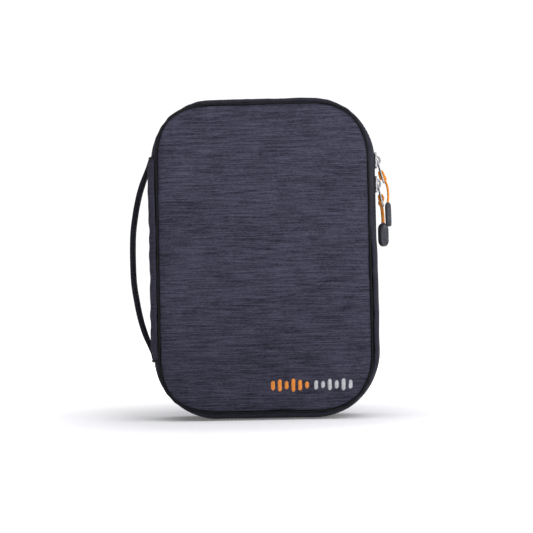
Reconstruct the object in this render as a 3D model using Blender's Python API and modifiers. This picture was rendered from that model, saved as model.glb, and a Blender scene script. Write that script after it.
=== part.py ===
"""A zipped clamshell case for headphones, with its carrying handle and two zip pulls.

Metres, +Z up, +X to the right of the front, +Y towards the back. The case stands on the bottom of its
gusset. Its zip runs round the middle of the depth, and the lid (the front half) folds at the left side.
"""
import math

import bmesh
import bpy
from mathutils import Matrix, Vector

MM = 0.001

# The case. Insets are measured inwards from its outline, and depths from the plane of the zip.
WIDTH = 176 * MM
HEIGHT = 250 * MM
CORNER = 50 * MM
CORNER_STEPS = 12
CENTRE_X = 4 * MM  # puts the middle of the whole width, handle and pulls included, at X = 0

GUSSET_EDGE = 6 * MM
GUSSET_FLAT = 19 * MM
GUSSET_DEPTH = 7.6 * MM
GUSSET_INSET = 8 * MM
GUSSET_THICK = 2.2 * MM
GUSSET_TURN = math.radians(75)
GUSSET_TURN_STEPS = 3

PIPING_INSET = 7.4 * MM
PIPING_DEPTH = 26 * MM
PIPING_RADIUS = 1.05 * MM

SPINE_TURN = math.radians(6)  # how far the spine reaches round the two left corners
SPINE_PROUD = 1.2 * MM
SPINE_THICK = 2.6 * MM
FOLD_GAP = 0.4 * MM  # from the plane of the zip to the edge of each half of the spine
FOLD_OUT = 2 * MM  # from the left wall out to the line about which the lid folds

TAPE_INSETS = (0.9 * MM, 1.5 * MM)
TAPE_DEPTHS = (2.9 * MM, 5.7 * MM)
COIL_INSETS = (0.2 * MM, 2 * MM)
COIL_DEPTHS = (0.75 * MM, 2.55 * MM)

# Each row is an inset and a depth, from the hidden side of the piece to its face.
PANEL_LAYERS = ((8.8, 24.4), (8.8, 25.9), (9.8, 26.8), (13, 27.4), (22, 28))
BOARD_LAYERS = ((9.5, 23.1), (9.5, 24.1))
LINING_LAYERS = (
    (7.5, 22.7), (4, 21.3), (2.6, 18), (2.6, 5),
    (3.4, 5), (3.4, 17.6), (4.8, 20.7), (8, 22),
)
BINDING_SECTION = ((3.8, 17.5), (4.6, 17.2), (8.8, 20.6), (8.5, 21.4))

# The mesh pocket in the lid
POCKET_INSET = 13 * MM
POCKET_TOP = 150 * MM
POCKET_DEPTH = 20.3 * MM
POCKET_THICK = 0.6 * MM
HEM_HEIGHT = 8 * MM
HEM_THICK = 2 * MM

# The embroidered mark
MARK_Z = 26.5 * MM
MARK_HEIGHT = 8 * MM
MARK_THICK = 0.5 * MM
MARK_BARS = {"mark_orange": (3 * MM, 34 * MM), "mark_grey": (35 * MM, 65 * MM)}

# The carrying handle: an arc seen from the front, whose middle stands furthest out
HANDLE_Y = 18 * MM
HANDLE_WIDTH = 12 * MM
HANDLE_THICK = 4.2 * MM
HANDLE_REACH = 105.4 * MM  # from the case's middle to the middle of the band
HANDLE_ARC = 194 * MM
HANDLE_MIDDLE_Z = 128 * MM
HANDLE_HALF = 60 * MM
HANDLE_STEPS = 16
ROOT_THICK = 3 * MM
# The sewn ends: distance above the middle, and distance out from the left wall, of the band's middle
ROOT_ROUTE = ((60.3, 6.2), (66, 4.8), (72, 3.5), (77, 2.9), (83, 2.5))

# A zip slider, in its own axes: X away from the case, Y across the zip, Z along it. X is 0 on the wall.
SLIDER_WIDTH = 8.4 * MM
SLIDER_LENGTH = 12 * MM
TOP_PLATE = (0.1 * MM, 1.4 * MM)
LOW_PLATE = (-3.8 * MM, -2.9 * MM)
POST_WIDTH = 0.8 * MM
POST_LENGTH = 4 * MM
BRIDGE_RADIUS = 3.2 * MM
BRIDGE_WIRE = 0.65 * MM
BRIDGE_FLATTEN = 0.72
UPPER_SLIDER_Z = HEIGHT - CORNER
LOWER_SLIDER_Z = 181.5 * MM

# A tab, in its own axes: it hangs down from its crossbar, whose axis is Y
TAB_WIDTH = 5 * MM
TAB_LENGTH = 17 * MM
TAB_THICK = 0.9 * MM
CROSSBAR = 1.1 * MM
WINDOW = (2.7 * MM, 4.8 * MM)
SLOT = (3 * MM, 2.4 * MM)
SLOT_MARGIN = 1.3 * MM
TAB_AXIS_OUT = 2.3 * MM
TAB_AXIS_DOWN = 0.4 * MM
TAB_TILTS = {"upper": math.radians(16), "lower": math.radians(10)}

# The pulls: where the middle of each grip is, from the case's middle, and how it is turned
CORD_RADIUS = 0.85 * MM
STRAND_SIDE = 1.2 * MM
LOOP_RADIUS = 1.9 * MM
LOOP_MEETS = 5 * MM  # how far below the bar the two strands come together
GRIP_WIDTH = 10.4 * MM
GRIP_LENGTH = 18.4 * MM
GRIP_THICK = 4.2 * MM
GRIPS = {
    "upper": {"middle": (97.6, -8, 157.8), "turn": 90, "lean": 5},
    "lower": {"middle": (93.2, 3.2, 141.6), "turn": 52, "lean": 0},
}

FABRIC = (0.048, 0.048, 0.068)
BLACK = (0.014, 0.014, 0.021)
LINING_GREY = (0.03, 0.03, 0.036)
NICKEL = (0.72, 0.72, 0.74)
ORANGE = (0.87, 0.3, 0.03)
PALE_GREY = (0.6, 0.61, 0.64)


# ---------------------------------------------------------------- scene, materials and helpers

def clear_scene():
    for obj in list(bpy.data.objects):
        bpy.data.objects.remove(obj, do_unlink=True)


def new_collection(name, rendered=True):
    collection = bpy.data.collections.new(name)
    collection.hide_render = not rendered
    bpy.context.scene.collection.children.link(collection)
    return collection


def paint(obj, colour, roughness, metallic=0.0):
    """Gives the object a material of its own."""
    material = bpy.data.materials.new(obj.name)
    material.use_nodes = True
    shader = material.node_tree.nodes["Principled BSDF"]
    shader.inputs["Base Color"].default_value = (*colour, 1)
    shader.inputs["Roughness"].default_value = roughness
    shader.inputs["Metallic"].default_value = metallic
    material.diffuse_color = (*colour, 1)
    obj.data.materials.append(material)
    return obj


def smooth(obj, angle=40):
    """Smooth shading that keeps the edges sharper than this angle."""
    obj.data.shade_smooth()
    obj.data.set_sharp_from_angle(angle=math.radians(angle))
    return obj


def mesh_object(name, bm, collection):
    bmesh.ops.recalc_face_normals(bm, faces=bm.faces)
    mesh = bpy.data.meshes.new(name)
    bm.to_mesh(mesh)
    bm.free()
    obj = bpy.data.objects.new(name, mesh)
    collection.objects.link(obj)
    return obj


def add_bevel(obj, width, segments=2):
    bevel = obj.modifiers.new("Bevel", "BEVEL")
    bevel.width = width
    bevel.segments = segments
    bevel.limit_method = "ANGLE"


def add_boolean(obj, other, operation):
    boolean = obj.modifiers.new("Boolean", "BOOLEAN")
    boolean.operation = operation
    boolean.solver = "EXACT"
    boolean.object = other


def box_mesh(bm, low, high):
    """Adds a box between two corners."""
    low, high = Vector(low), Vector(high)
    size = Matrix.Diagonal((*(high - low), 1))
    bmesh.ops.create_cube(bm, size=1, matrix=Matrix.Translation((low + high) / 2) @ size)


def box_object(name, low, high, collection):
    bm = bmesh.new()
    box_mesh(bm, low, high)
    return mesh_object(name, bm, collection)


def cutter_box(name, low, high):
    obj = box_object(name, low, high, cutters)
    obj.display_type = "WIRE"
    return obj


def joint_empty(name, location, parent=None):
    """An empty on a joint's axis, which carries everything that the joint moves."""
    empty = bpy.data.objects.new(name, None)
    empty.empty_display_size = 10 * MM
    case.objects.link(empty)
    empty.location = location
    if parent:
        hang_on(empty, parent)
    return empty


def hang_on(obj, parent):
    """Parents the object without moving it."""
    bpy.context.view_layer.update()
    place = obj.matrix_world.copy()
    obj.parent = parent
    obj.matrix_parent_inverse = parent.matrix_world.inverted()
    obj.matrix_world = place


# ---------------------------------------------------------------- the outline of the case

def corner_arc(side_x, side_z, start, end):
    """Points and outward directions (in X and Z) on one corner, which side_x and side_z name by sign."""
    centre = Vector((CENTRE_X + side_x * (WIDTH / 2 - CORNER), 0,
                     HEIGHT / 2 + side_z * (HEIGHT / 2 - CORNER)))
    steps = max(1, round(abs(end - start) / (math.pi / 2) * CORNER_STEPS))
    found = []
    for i in range(steps + 1):
        angle = start + (end - start) * i / steps
        outward = Vector((math.cos(angle), 0, math.sin(angle)))
        found.append((centre + CORNER * outward, outward))
    return found


def gusset_route():
    """The outline from the top of the spine clockwise to the bottom of it, as seen from the front."""
    quarter = math.pi / 2
    return (corner_arc(-1, 1, math.pi - SPINE_TURN, quarter)
            + corner_arc(1, 1, quarter, 0)
            + corner_arc(1, -1, 0, -quarter)
            + corner_arc(-1, -1, -quarter, -math.pi + SPINE_TURN))


def spine_route():
    """The rest of the outline, up the left side."""
    return (corner_arc(-1, -1, -math.pi + SPINE_TURN, -math.pi)
            + corner_arc(-1, 1, math.pi, math.pi - SPINE_TURN))


def whole_route():
    quarter = math.pi / 2
    return (corner_arc(-1, 1, math.pi, quarter) + corner_arc(1, 1, quarter, 0)
            + corner_arc(1, -1, 0, -quarter) + corner_arc(-1, -1, -quarter, -math.pi))


def at_inset(station, inset, y):
    point, outward = station
    return point - inset * outward + Vector((0, y, 0))


def add_loop(bm, points):
    """Adds a closed loop of edges, and returns it."""
    verts = [bm.verts.new(point) for point in points]
    return [bm.edges.new((verts[i - 1], verts[i])) for i in range(len(verts))]


def loft(name, loops, collection, ring=False):
    """A solid through these loops of points: a ring if the last one joins the first, else with filled ends."""
    bm = bmesh.new()
    edges = [add_loop(bm, loop) for loop in loops]
    if ring:
        pairs = [(edges[i - 1], edges[i]) for i in range(len(edges))]
    else:
        pairs = list(zip(edges, edges[1:]))
    for first, second in pairs:
        bmesh.ops.bridge_loops(bm, edges=first + second)
    if not ring:
        bmesh.ops.contextual_create(bm, geom=edges[0])
        bmesh.ops.contextual_create(bm, geom=edges[-1])
    return mesh_object(name, bm, collection)


def sweep(name, section, route, side, collection, ring=False):
    """A section of insets and depths along a route on the outline. side is -1 for the lid and 1 for the back."""
    loops = [[at_inset(station, inset, side * y) for inset, y in section] for station in route]
    return loft(name, loops, collection, ring)


def layered(name, layers, side, collection):
    """A slab or a tray whose edge follows the outline. layers are insets and depths in millimetres."""
    route = whole_route()
    loops = [[at_inset(s, inset * MM, side * y * MM) for s in route] for inset, y in layers]
    return loft(name, loops, collection)


def rectangle(insets, depths):
    return [(insets[0], depths[0]), (insets[0], depths[1]),
            (insets[1], depths[1]), (insets[1], depths[0])]


def wall_section(proud, thick, edge):
    """The section of the gusset or the spine: flat by the zip, then turning in towards the piping."""
    turns = [GUSSET_TURN * i / GUSSET_TURN_STEPS for i in range(1, GUSSET_TURN_STEPS + 1)]
    reach = GUSSET_INSET * (1 - math.cos(GUSSET_TURN)) + proud
    outer_inset = reach / (1 - math.cos(GUSSET_TURN))
    outer = [(-proud, edge), (-proud, GUSSET_FLAT)]
    outer += [(-proud + outer_inset * (1 - math.cos(t)), GUSSET_FLAT + GUSSET_DEPTH * math.sin(t))
              for t in turns]
    hidden = thick - proud
    inner_depth = GUSSET_DEPTH - GUSSET_THICK
    inner_inset = GUSSET_INSET - hidden
    inner = [(hidden, edge), (hidden, GUSSET_FLAT)]
    inner += [(hidden + inner_inset * (1 - math.cos(t)), GUSSET_FLAT + inner_depth * math.sin(t))
              for t in turns]
    return outer + inner[::-1]


# ---------------------------------------------------------------- the two halves of the case

def build_piping(name, side, collection):
    data = bpy.data.curves.new(name, "CURVE")
    data.dimensions = "3D"
    data.bevel_depth = PIPING_RADIUS
    data.bevel_resolution = 2
    points = [at_inset(s, PIPING_INSET, side * PIPING_DEPTH) for s in whole_route()]
    spline = data.splines.new("POLY")
    spline.points.add(len(points) - 1)
    for place, point in zip(spline.points, points):
        place.co = (*point, 1)
    spline.use_cyclic_u = True
    obj = bpy.data.objects.new(name, data)
    collection.objects.link(obj)
    return obj


def build_half(half, side):
    """The pieces that the lid and the back have in common."""
    gusset = wall_section(0, GUSSET_THICK, GUSSET_EDGE)
    spine = wall_section(SPINE_PROUD, SPINE_THICK, FOLD_GAP)
    pieces = [
        paint(layered(f"{half}_panel", PANEL_LAYERS, side, case), FABRIC, 0.85),
        paint(layered(f"{half}_board", BOARD_LAYERS, side, case), PALE_GREY, 0.9),
        paint(layered(f"{half}_lining", LINING_LAYERS, side, case), LINING_GREY, 0.8),
        paint(sweep(f"{half}_binding", [(i * MM, y * MM) for i, y in BINDING_SECTION],
                    whole_route(), side, case, ring=True), BLACK, 0.8),
        paint(sweep(f"{half}_gusset", gusset, gusset_route(), side, case), BLACK, 0.7),
        paint(sweep(f"{half}_spine", spine, spine_route(), side, case), FABRIC, 0.85),
        paint(sweep(f"{half}_zip_tape", rectangle(TAPE_INSETS, TAPE_DEPTHS),
                    gusset_route(), side, case), BLACK, 0.8),
        paint(sweep(f"{half}_zip_coil", rectangle(COIL_INSETS, COIL_DEPTHS),
                    gusset_route(), side, case), BLACK, 0.4),
    ]
    for piece in pieces:
        smooth(piece)
    pieces.append(paint(build_piping(f"{half}_piping", side, case), BLACK, 0.6))
    return pieces


def build_pocket():
    """A flat mesh pocket on the lid's lining, open at the top under an elastic hem."""
    across = WIDTH / 2 - POCKET_INSET
    lower = (corner_arc(1, -1, 0, -math.pi / 2) + corner_arc(-1, -1, -math.pi / 2, -math.pi))
    rim = [at_inset(station, POCKET_INSET, 0) for station in lower]
    rim += [Vector((CENTRE_X - across, 0, POCKET_TOP)), Vector((CENTRE_X + across, 0, POCKET_TOP))]
    faces = [[point + Vector((0, -depth, 0)) for point in rim]
             for depth in (POCKET_DEPTH, POCKET_DEPTH + POCKET_THICK)]
    mesh = paint(loft("mesh_pocket", faces, case), BLACK, 0.9)
    middle = POCKET_DEPTH + POCKET_THICK / 2
    hem = box_object("mesh_pocket_hem",
                     (CENTRE_X - across, -middle - HEM_THICK / 2, POCKET_TOP + 0.3 * MM),
                     (CENTRE_X + across, -middle + HEM_THICK / 2, POCKET_TOP + HEM_HEIGHT), case)
    add_bevel(hem, 0.6 * MM)
    return [mesh, paint(hem, BLACK, 0.8)]


def build_mark():
    """Two plain embroidered bars at the lower right of the lid."""
    face = PANEL_LAYERS[-1][1] * MM + 0.3 * MM
    bars = []
    for name, (left, right) in MARK_BARS.items():
        bar = box_object(name, (CENTRE_X + left, -face - MARK_THICK, MARK_Z - MARK_HEIGHT / 2),
                         (CENTRE_X + right, -face, MARK_Z + MARK_HEIGHT / 2), case)
        bars.append(paint(bar, ORANGE if name == "mark_orange" else PALE_GREY, 0.6))
    return bars


# ---------------------------------------------------------------- the handle

def strip(name, middles, widths, thick, y, collection):
    """A band that runs through these points of an XZ plane, flat across Y."""
    bm = bmesh.new()
    rows = [[bm.verts.new((point.x, y + side * width / 2, point.z)) for side in (-1, 1)]
            for point, width in zip(middles, widths)]
    for (a, b), (c, d) in zip(rows, rows[1:]):
        bm.faces.new((a, b, d, c))
    obj = mesh_object(name, bm, collection)
    solidify = obj.modifiers.new("Solidify", "SOLIDIFY")
    solidify.thickness = thick
    solidify.offset = 0
    solidify.use_even_offset = True
    add_bevel(obj, 0.8 * MM, 1)
    return obj


def handle_point(rise):
    """The middle of the band at this height above the handle's middle."""
    bow = HANDLE_ARC - math.sqrt(HANDLE_ARC ** 2 - rise ** 2)
    return Vector((CENTRE_X - HANDLE_REACH + bow, 0, HANDLE_MIDDLE_Z + rise))


def build_handle():
    limit = math.asin(HANDLE_HALF / HANDLE_ARC)
    rises = [HANDLE_ARC * math.sin(limit * (2 * i / HANDLE_STEPS - 1)) for i in range(HANDLE_STEPS + 1)]
    band = strip("handle_band", [handle_point(r) for r in rises], [HANDLE_WIDTH] * len(rises),
                 HANDLE_THICK, HANDLE_Y, case)
    paint(smooth(band), BLACK, 0.7)
    roots = []
    for name, up in (("handle_root_upper", 1), ("handle_root_lower", -1)):
        points = [Vector((CENTRE_X - WIDTH / 2 - out * MM, 0, HANDLE_MIDDLE_Z + up * rise * MM))
                  for rise, out in ROOT_ROUTE]
        root = strip(name, points, [HANDLE_WIDTH] * len(points), ROOT_THICK, HANDLE_Y, case)
        roots.append(paint(smooth(root), BLACK, 0.7))
    return band, roots


# ---------------------------------------------------------------- the zip sliders and their pulls

def build_slider(name, z):
    """Two plates on a post, with a bridge over the outer one for the tab to hang from."""
    half_width, half_length = SLIDER_WIDTH / 2, SLIDER_LENGTH / 2
    wall = CENTRE_X + WIDTH / 2
    obj = box_object(name, (TOP_PLATE[0], -half_width, -half_length),
                     (TOP_PLATE[1], half_width, half_length), case)
    add_bevel(obj, 0.4 * MM, 1)
    low = cutter_box(f"{name}_low_plate", (LOW_PLATE[0], -half_width, -half_length),
                     (LOW_PLATE[1], half_width, half_length))
    post = cutter_box(f"{name}_post", (LOW_PLATE[0] + 0.3 * MM, -POST_WIDTH / 2, -POST_LENGTH / 2),
                      (TOP_PLATE[1] - 0.3 * MM, POST_WIDTH / 2, POST_LENGTH / 2))
    bridge = build_bridge(f"{name}_bridge")
    for part in (post, low, bridge):
        part.location = (wall, 0, z)
        add_boolean(obj, part, "UNION")
    obj.location = (wall, 0, z)
    return paint(smooth(obj), NICKEL, 0.25, 1)


def build_bridge(name):
    """The outer half of a flattened ring that stands on the slider's outer plate."""
    bpy.ops.mesh.primitive_torus_add(major_segments=20, minor_segments=8,
                                     major_radius=BRIDGE_RADIUS, minor_radius=BRIDGE_WIRE)
    obj = bpy.context.active_object
    obj.name = name
    for collection in list(obj.users_collection):
        collection.objects.unlink(obj)
    cutters.objects.link(obj)
    obj.display_type = "WIRE"
    upright = Matrix.Rotation(math.pi / 2, 4, "X")
    flatten = Matrix.Diagonal((BRIDGE_FLATTEN, 1, 1, 1))
    obj.data.transform(Matrix.Translation((TOP_PLATE[1], 0, 0)) @ flatten @ upright)
    bm = bmesh.new()
    bm.from_mesh(obj.data)
    whole = bm.verts[:] + bm.edges[:] + bm.faces[:]
    cut = bmesh.ops.bisect_plane(bm, geom=whole, plane_co=(TOP_PLATE[1] - 0.5 * MM, 0, 0),
                                 plane_no=(1, 0, 0), clear_inner=True)
    rim = [e for e in cut["geom_cut"] if isinstance(e, bmesh.types.BMEdge)]
    bmesh.ops.holes_fill(bm, edges=rim)
    bmesh.ops.recalc_face_normals(bm, faces=bm.faces)
    bm.to_mesh(obj.data)
    bm.free()
    return obj


def tab_axis(z):
    """Where a tab's crossbar runs under the bridge of the slider at this height."""
    return Vector((CENTRE_X + WIDTH / 2 + TAB_AXIS_OUT, 0, z - TAB_AXIS_DOWN))


def loop_place(which, z):
    """The middle of the bar below the tab's slot, round which the cord loops."""
    tilt = TAB_TILTS[which]
    along = TAB_LENGTH - CROSSBAR / 2 - SLOT_MARGIN / 2
    return tab_axis(z) + along * Vector((math.sin(tilt), 0, -math.cos(tilt)))


def build_tab(which, z):
    """A flat plate with a window for the bridge and a slot for the cord."""
    name = f"{which}_tab"
    top = CROSSBAR / 2
    low = top - TAB_LENGTH
    half = TAB_THICK / 2
    obj = box_object(name, (-half, -TAB_WIDTH / 2, low), (half, TAB_WIDTH / 2, top), case)
    upright = [e for e in obj.data.edges
               if abs(obj.data.vertices[e.vertices[0]].co.x - obj.data.vertices[e.vertices[1]].co.x) > half]
    weights = obj.data.attributes.new("bevel_weight_edge", "FLOAT", "EDGE")
    for edge in upright:
        weights.data[edge.index].value = 1
    rounding = obj.modifiers.new("Round corners", "BEVEL")
    rounding.width = 1.2 * MM
    rounding.segments = 3
    rounding.limit_method = "WEIGHT"
    window = cutter_box(f"{name}_window", (-1 * MM, -WINDOW[0] / 2, -top - WINDOW[1]),
                        (1 * MM, WINDOW[0] / 2, -top))
    slot = cutter_box(f"{name}_slot", (-1 * MM, -SLOT[0] / 2, low + SLOT_MARGIN),
                      (1 * MM, SLOT[0] / 2, low + SLOT_MARGIN + SLOT[1]))
    for part in (obj, window, slot):
        part.location = tab_axis(z)
        part.rotation_euler.y = -TAB_TILTS[which]
    add_boolean(obj, window, "DIFFERENCE")
    add_boolean(obj, slot, "DIFFERENCE")
    return paint(smooth(obj), NICKEL, 0.25, 1)


def build_grip(which):
    """A flat moulded grip with round ends."""
    facts = GRIPS[which]
    bm = bmesh.new()
    bmesh.ops.create_cone(bm, cap_ends=True, segments=20, radius1=GRIP_WIDTH / 2,
                          radius2=GRIP_WIDTH / 2, depth=GRIP_THICK,
                          matrix=Matrix.Rotation(math.pi / 2, 4, "X"))
    stretch = (GRIP_LENGTH - GRIP_WIDTH) / 2
    for vert in bm.verts:
        vert.co.z += math.copysign(stretch, vert.co.z)
    obj = mesh_object(f"{which}_grip", bm, case)
    add_bevel(obj, 1.3 * MM, 2)
    x, y, z = facts["middle"]
    obj.location = (CENTRE_X + x * MM, y * MM, z * MM)
    turn = Matrix.Rotation(math.radians(facts["turn"]), 4, "Z")
    lean = Matrix.Rotation(math.radians(-facts["lean"]), 4, "Y")
    obj.rotation_euler = (lean @ turn).to_euler()
    return paint(smooth(obj), FABRIC, 0.5)


def build_cord(which, z):
    """A cord that rises from the grip, loops round the bar of the tab and comes back down."""
    tilt = TAB_TILTS[which]
    down = Vector((math.sin(tilt), 0, -math.cos(tilt)))
    out = Vector((math.cos(tilt), 0, math.sin(tilt)))
    bar = loop_place(which, z)
    facts = GRIPS[which]
    x, y, grip_z = facts["middle"]
    lean = math.radians(facts["lean"])
    turn = math.radians(facts["turn"])
    rise = GRIP_LENGTH / 2 + 0.3 * MM
    top = Vector((CENTRE_X + x * MM - rise * math.sin(lean), y * MM, grip_z * MM + rise * math.cos(lean)))
    across = STRAND_SIDE * Vector((math.cos(turn), math.sin(turn), 0))
    meet = bar + LOOP_MEETS * down
    low = top + (meet - top) * 0.4
    apart = 0.5 * STRAND_SIDE * (out + Vector((0, 1, 0)))
    round_bar = [bar + LOOP_RADIUS * (math.cos(a) * out - math.sin(a) * down)
                 for a in (math.pi * i / 6 for i in range(7))]
    points = [top + across, low + across, meet + apart, *round_bar,
              meet - apart, low - across, top - across]
    data = bpy.data.curves.new(f"{which}_cord", "CURVE")
    data.dimensions = "3D"
    data.resolution_u = 2
    data.bevel_depth = CORD_RADIUS
    data.bevel_resolution = 2
    data.use_fill_caps = True
    spline = data.splines.new("BEZIER")
    spline.bezier_points.add(len(points) - 1)
    for place, point in zip(spline.bezier_points, points):
        place.co = point
        place.handle_left_type = place.handle_right_type = "AUTO"
    obj = bpy.data.objects.new(f"{which}_cord", data)
    case.objects.link(obj)
    weld = obj.modifiers.new("Weld", "WELD")
    weld.merge_threshold = 0.01 * MM
    return paint(obj, ORANGE, 0.6)


def build_zip_pull(which, z, slider_axis):
    """A slider with its tab, and the cord and grip on it, each carried by the empty of its joint."""
    carrier = joint_empty(f"{which}_slider_joint", slider_axis)
    hang_on(build_slider(f"{which}_slider", z), carrier)
    tab_joint = joint_empty(f"{which}_tab_joint", tab_axis(z), carrier)
    hang_on(build_tab(which, z), tab_joint)
    pull_joint = joint_empty(f"{which}_pull_joint", loop_place(which, z), tab_joint)
    hang_on(build_cord(which, z), pull_joint)
    hang_on(build_grip(which), pull_joint)


# ---------------------------------------------------------------- the whole case

clear_scene()
case = new_collection("headphone_case")
cutters = new_collection("cutters", rendered=False)

build_half("back", 1)
lid_joint = joint_empty("lid_joint", (CENTRE_X - WIDTH / 2 - FOLD_OUT, 0, HEIGHT / 2))
for lid_piece in build_half("front", -1) + build_pocket() + build_mark():
    hang_on(lid_piece, lid_joint)

handle, handle_roots = build_handle()
handle_joint = joint_empty("handle_joint", (CENTRE_X - WIDTH / 2 - ROOT_ROUTE[2][1] * MM, HANDLE_Y,
                                            HANDLE_MIDDLE_Z))
hang_on(handle, handle_joint)

upper_axis = (CENTRE_X + WIDTH / 2 - CORNER, 0, HEIGHT - CORNER)
build_zip_pull("upper", UPPER_SLIDER_Z, upper_axis)
build_zip_pull("lower", LOWER_SLIDER_Z, (CENTRE_X + WIDTH / 2, 0, LOWER_SLIDER_Z))
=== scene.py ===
"""The looks of a zipped clamshell case for headphones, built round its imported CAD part.

Metres, in the CAD's frame: +Z up, +X to the right of the front, +Y towards the back. Distances along the
outline run clockwise, as seen from the front, from the middle of the left side. Insets are measured inwards
from the outline, and depths from the plane of the zip. side is -1 for the lid and 1 for the back.
"""
import math

import bmesh
import bpy
import numpy as np
from mathutils import Matrix, Vector


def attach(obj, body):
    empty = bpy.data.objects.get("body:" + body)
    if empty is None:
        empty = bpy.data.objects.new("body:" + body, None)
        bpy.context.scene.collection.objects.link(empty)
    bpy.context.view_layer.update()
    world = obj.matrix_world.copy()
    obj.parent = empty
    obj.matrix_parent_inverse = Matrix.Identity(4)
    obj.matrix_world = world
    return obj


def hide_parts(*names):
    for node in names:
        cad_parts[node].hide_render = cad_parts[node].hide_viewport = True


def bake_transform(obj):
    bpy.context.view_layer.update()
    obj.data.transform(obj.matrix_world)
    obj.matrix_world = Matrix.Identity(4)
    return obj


MM = 0.001
TAU = 2 * math.pi
HALVES = {"front": (-1, "lid"), "back": (1, "back_shell")}

# The outline of the shell, a rectangle with round corners. At each of its knots, where a straight meets a
# corner, the last three rows give the direction out of it and the corner's centre
WIDTH = 176 * MM
HEIGHT = 250 * MM
CORNER = 50 * MM
CENTRE_X = 4 * MM  # the handle stands out further than the pulls, so the shell is right of the frame's middle
QUARTER = CORNER * math.pi / 2
ACROSS = WIDTH - 2 * CORNER
UPRIGHT = HEIGHT - 2 * CORNER
AROUND = 2 * (ACROSS + UPRIGHT) + 4 * QUARTER
KNOTS = np.cumsum((0, UPRIGHT / 2, QUARTER, ACROSS, QUARTER, UPRIGHT, QUARTER, ACROSS, QUARTER, UPRIGHT / 2))
TURNS = np.radians((180, 180, 90, 90, 0, 0, -90, -90, -180, -180))
CORNERS_X = np.array((-1, -1, -1, 1, 1, 1, 1, -1, -1, -1)) * ACROSS / 2
CORNERS_Z = np.array((0, 1, 1, 1, 1, -1, -1, -1, -1, 0)) * UPRIGHT / 2

# The padded panels
PANEL_INSET = 6.8 * MM
PANEL_EDGE_DEPTH = 25.7 * MM
PANEL_CROWN = 2.2 * MM
PANEL_EASE = 5 * MM
PANEL_STEP = 3 * MM
PANEL_THICK = 1.1 * MM
CORNER_SWELL = 2.2 * MM  # how much nearer to the outline the padding pushes the panels' edge at a corner
CORNER_SKEW = 0.85 * MM  # how much less than that it is on the right, and how much more on the left
SWELL_REACH = 15 * MM
PUCKER = 0.16 * MM
PUCKER_REACH = 9 * MM
# Where the seam draws the padding in, in millimetres: X and Z from the panel's middle, width and depth
DIMPLES = (
    (8, -115, 6, 1.6), (-19, 114, 7, 1.3), (78, -7, 7, 1.1), (-77, 71, 8, 0.8), (-62, -87, 9, 0.8),
)
CLOTH_FRAMES = 18
MOST_CLOTH_MOVE = 1.1 * MM

# The gusset and the spine
GUSSET_EDGE = 6 * MM
GUSSET_FLAT = 19 * MM
GUSSET_DEPTH = 7.6 * MM
GUSSET_INSET = 6.5 * MM
GUSSET_FOLD = 1.1 * MM
GUSSET_THICK = 1.1 * MM
WALL_CROWN = 1.7 * MM  # how much further in the side is by the panel than by the zip
GUSSET_TURN = math.radians(75)
# The right side is drawn in at the sliders and bellies out below them. Both places are measured down from
# the top of the side's straight part
SAG_IN = 1.5 * MM
SAG_IN_AT = 22 * MM
SAG_IN_REACH = 30 * MM
SAG_OUT = 0.9 * MM
SAG_OUT_AT = 112 * MM
SAG_OUT_REACH = 52 * MM
TOPSTITCH_DEPTH = 8.6 * MM
TOPSTITCH_GROOVE = 0.42 * MM
SPINE_HALF = UPRIGHT / 2 + CORNER * math.radians(4)
SPINE_PROUD = 1.3 * MM  # how far the spine lies over the outline
SPINE_CROWN = 0.4 * MM  # and how much less by the panels
SPINE_BULGE = 0.5 * MM
SPINE_BULGE_AT = 52 * MM  # above the middle
SPINE_BULGE_REACH = 18 * MM
SPINE_THICK = 1.9 * MM
SPINE_SEAM_DEPTH = 6 * MM
SPINE_BINDING_RADIUS = 1.1 * MM
PIPING_INSET = 6.3 * MM
PIPING_DEPTH = 26 * MM
PIPING_RADIUS = 0.85 * MM

# The zip
TOOTH_PITCH = 1.45 * MM
TOOTH_WIRE = 0.31 * MM
TOOTH_HEAD = -0.45 * MM  # depths: the heads pass the middle of the zip
TOOTH_HEEL = 2.3 * MM
TOOTH_INSETS = (-0.1 * MM, 1.2 * MM)
TAPE_DEPTHS = (0.7 * MM, 5.9 * MM)
TAPE_INSET = 1.4 * MM
TAPE_THICK = 0.5 * MM
TAPE_SEAM_DEPTH = 2.9 * MM

# Stitches
STITCH_LENGTH = 2.5 * MM
STITCH_PITCH = 3.2 * MM
STITCH_RADIUS = 0.22 * MM

# The inside
# The tray's wall from the zip to the floor, in millimetres: inset and depth
LINING_WALL = (
    (3.0, 5.0), (3.4, 5.4), (3.5, 7.5), (3.5, 10), (3.5, 13),
    (3.6, 16), (3.8, 17.8), (4.7, 19.6), (6.3, 21), (8.6, 21.9),
)
LINING_FLOOR = 22 * MM
LINING_FLOOR_INSET = 8 * MM
BINDING_OUTER = (3.9 * MM, 17.6 * MM)  # inset and depth
BINDING_INNER = (8.6 * MM, 21.1 * MM)
BINDING_THICK = 0.5 * MM
POCKET_INSET = 13 * MM
POCKET_TOP = 150 * MM
POCKET_DEPTH = 20.6 * MM
POCKET_STEP = 4 * MM
HEM_HEIGHT = 8 * MM
HEM_THICK = 2 * MM

# The handle
HANDLE_Y = 18 * MM
HANDLE_WIDTH = 12 * MM
HANDLE_THICK = 4.3 * MM
HANDLE_MIDDLE_Z = 128 * MM
HANDLE_SEAM = 3.9 * MM  # how far from the band's middle each of its two rows of stitches is
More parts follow.
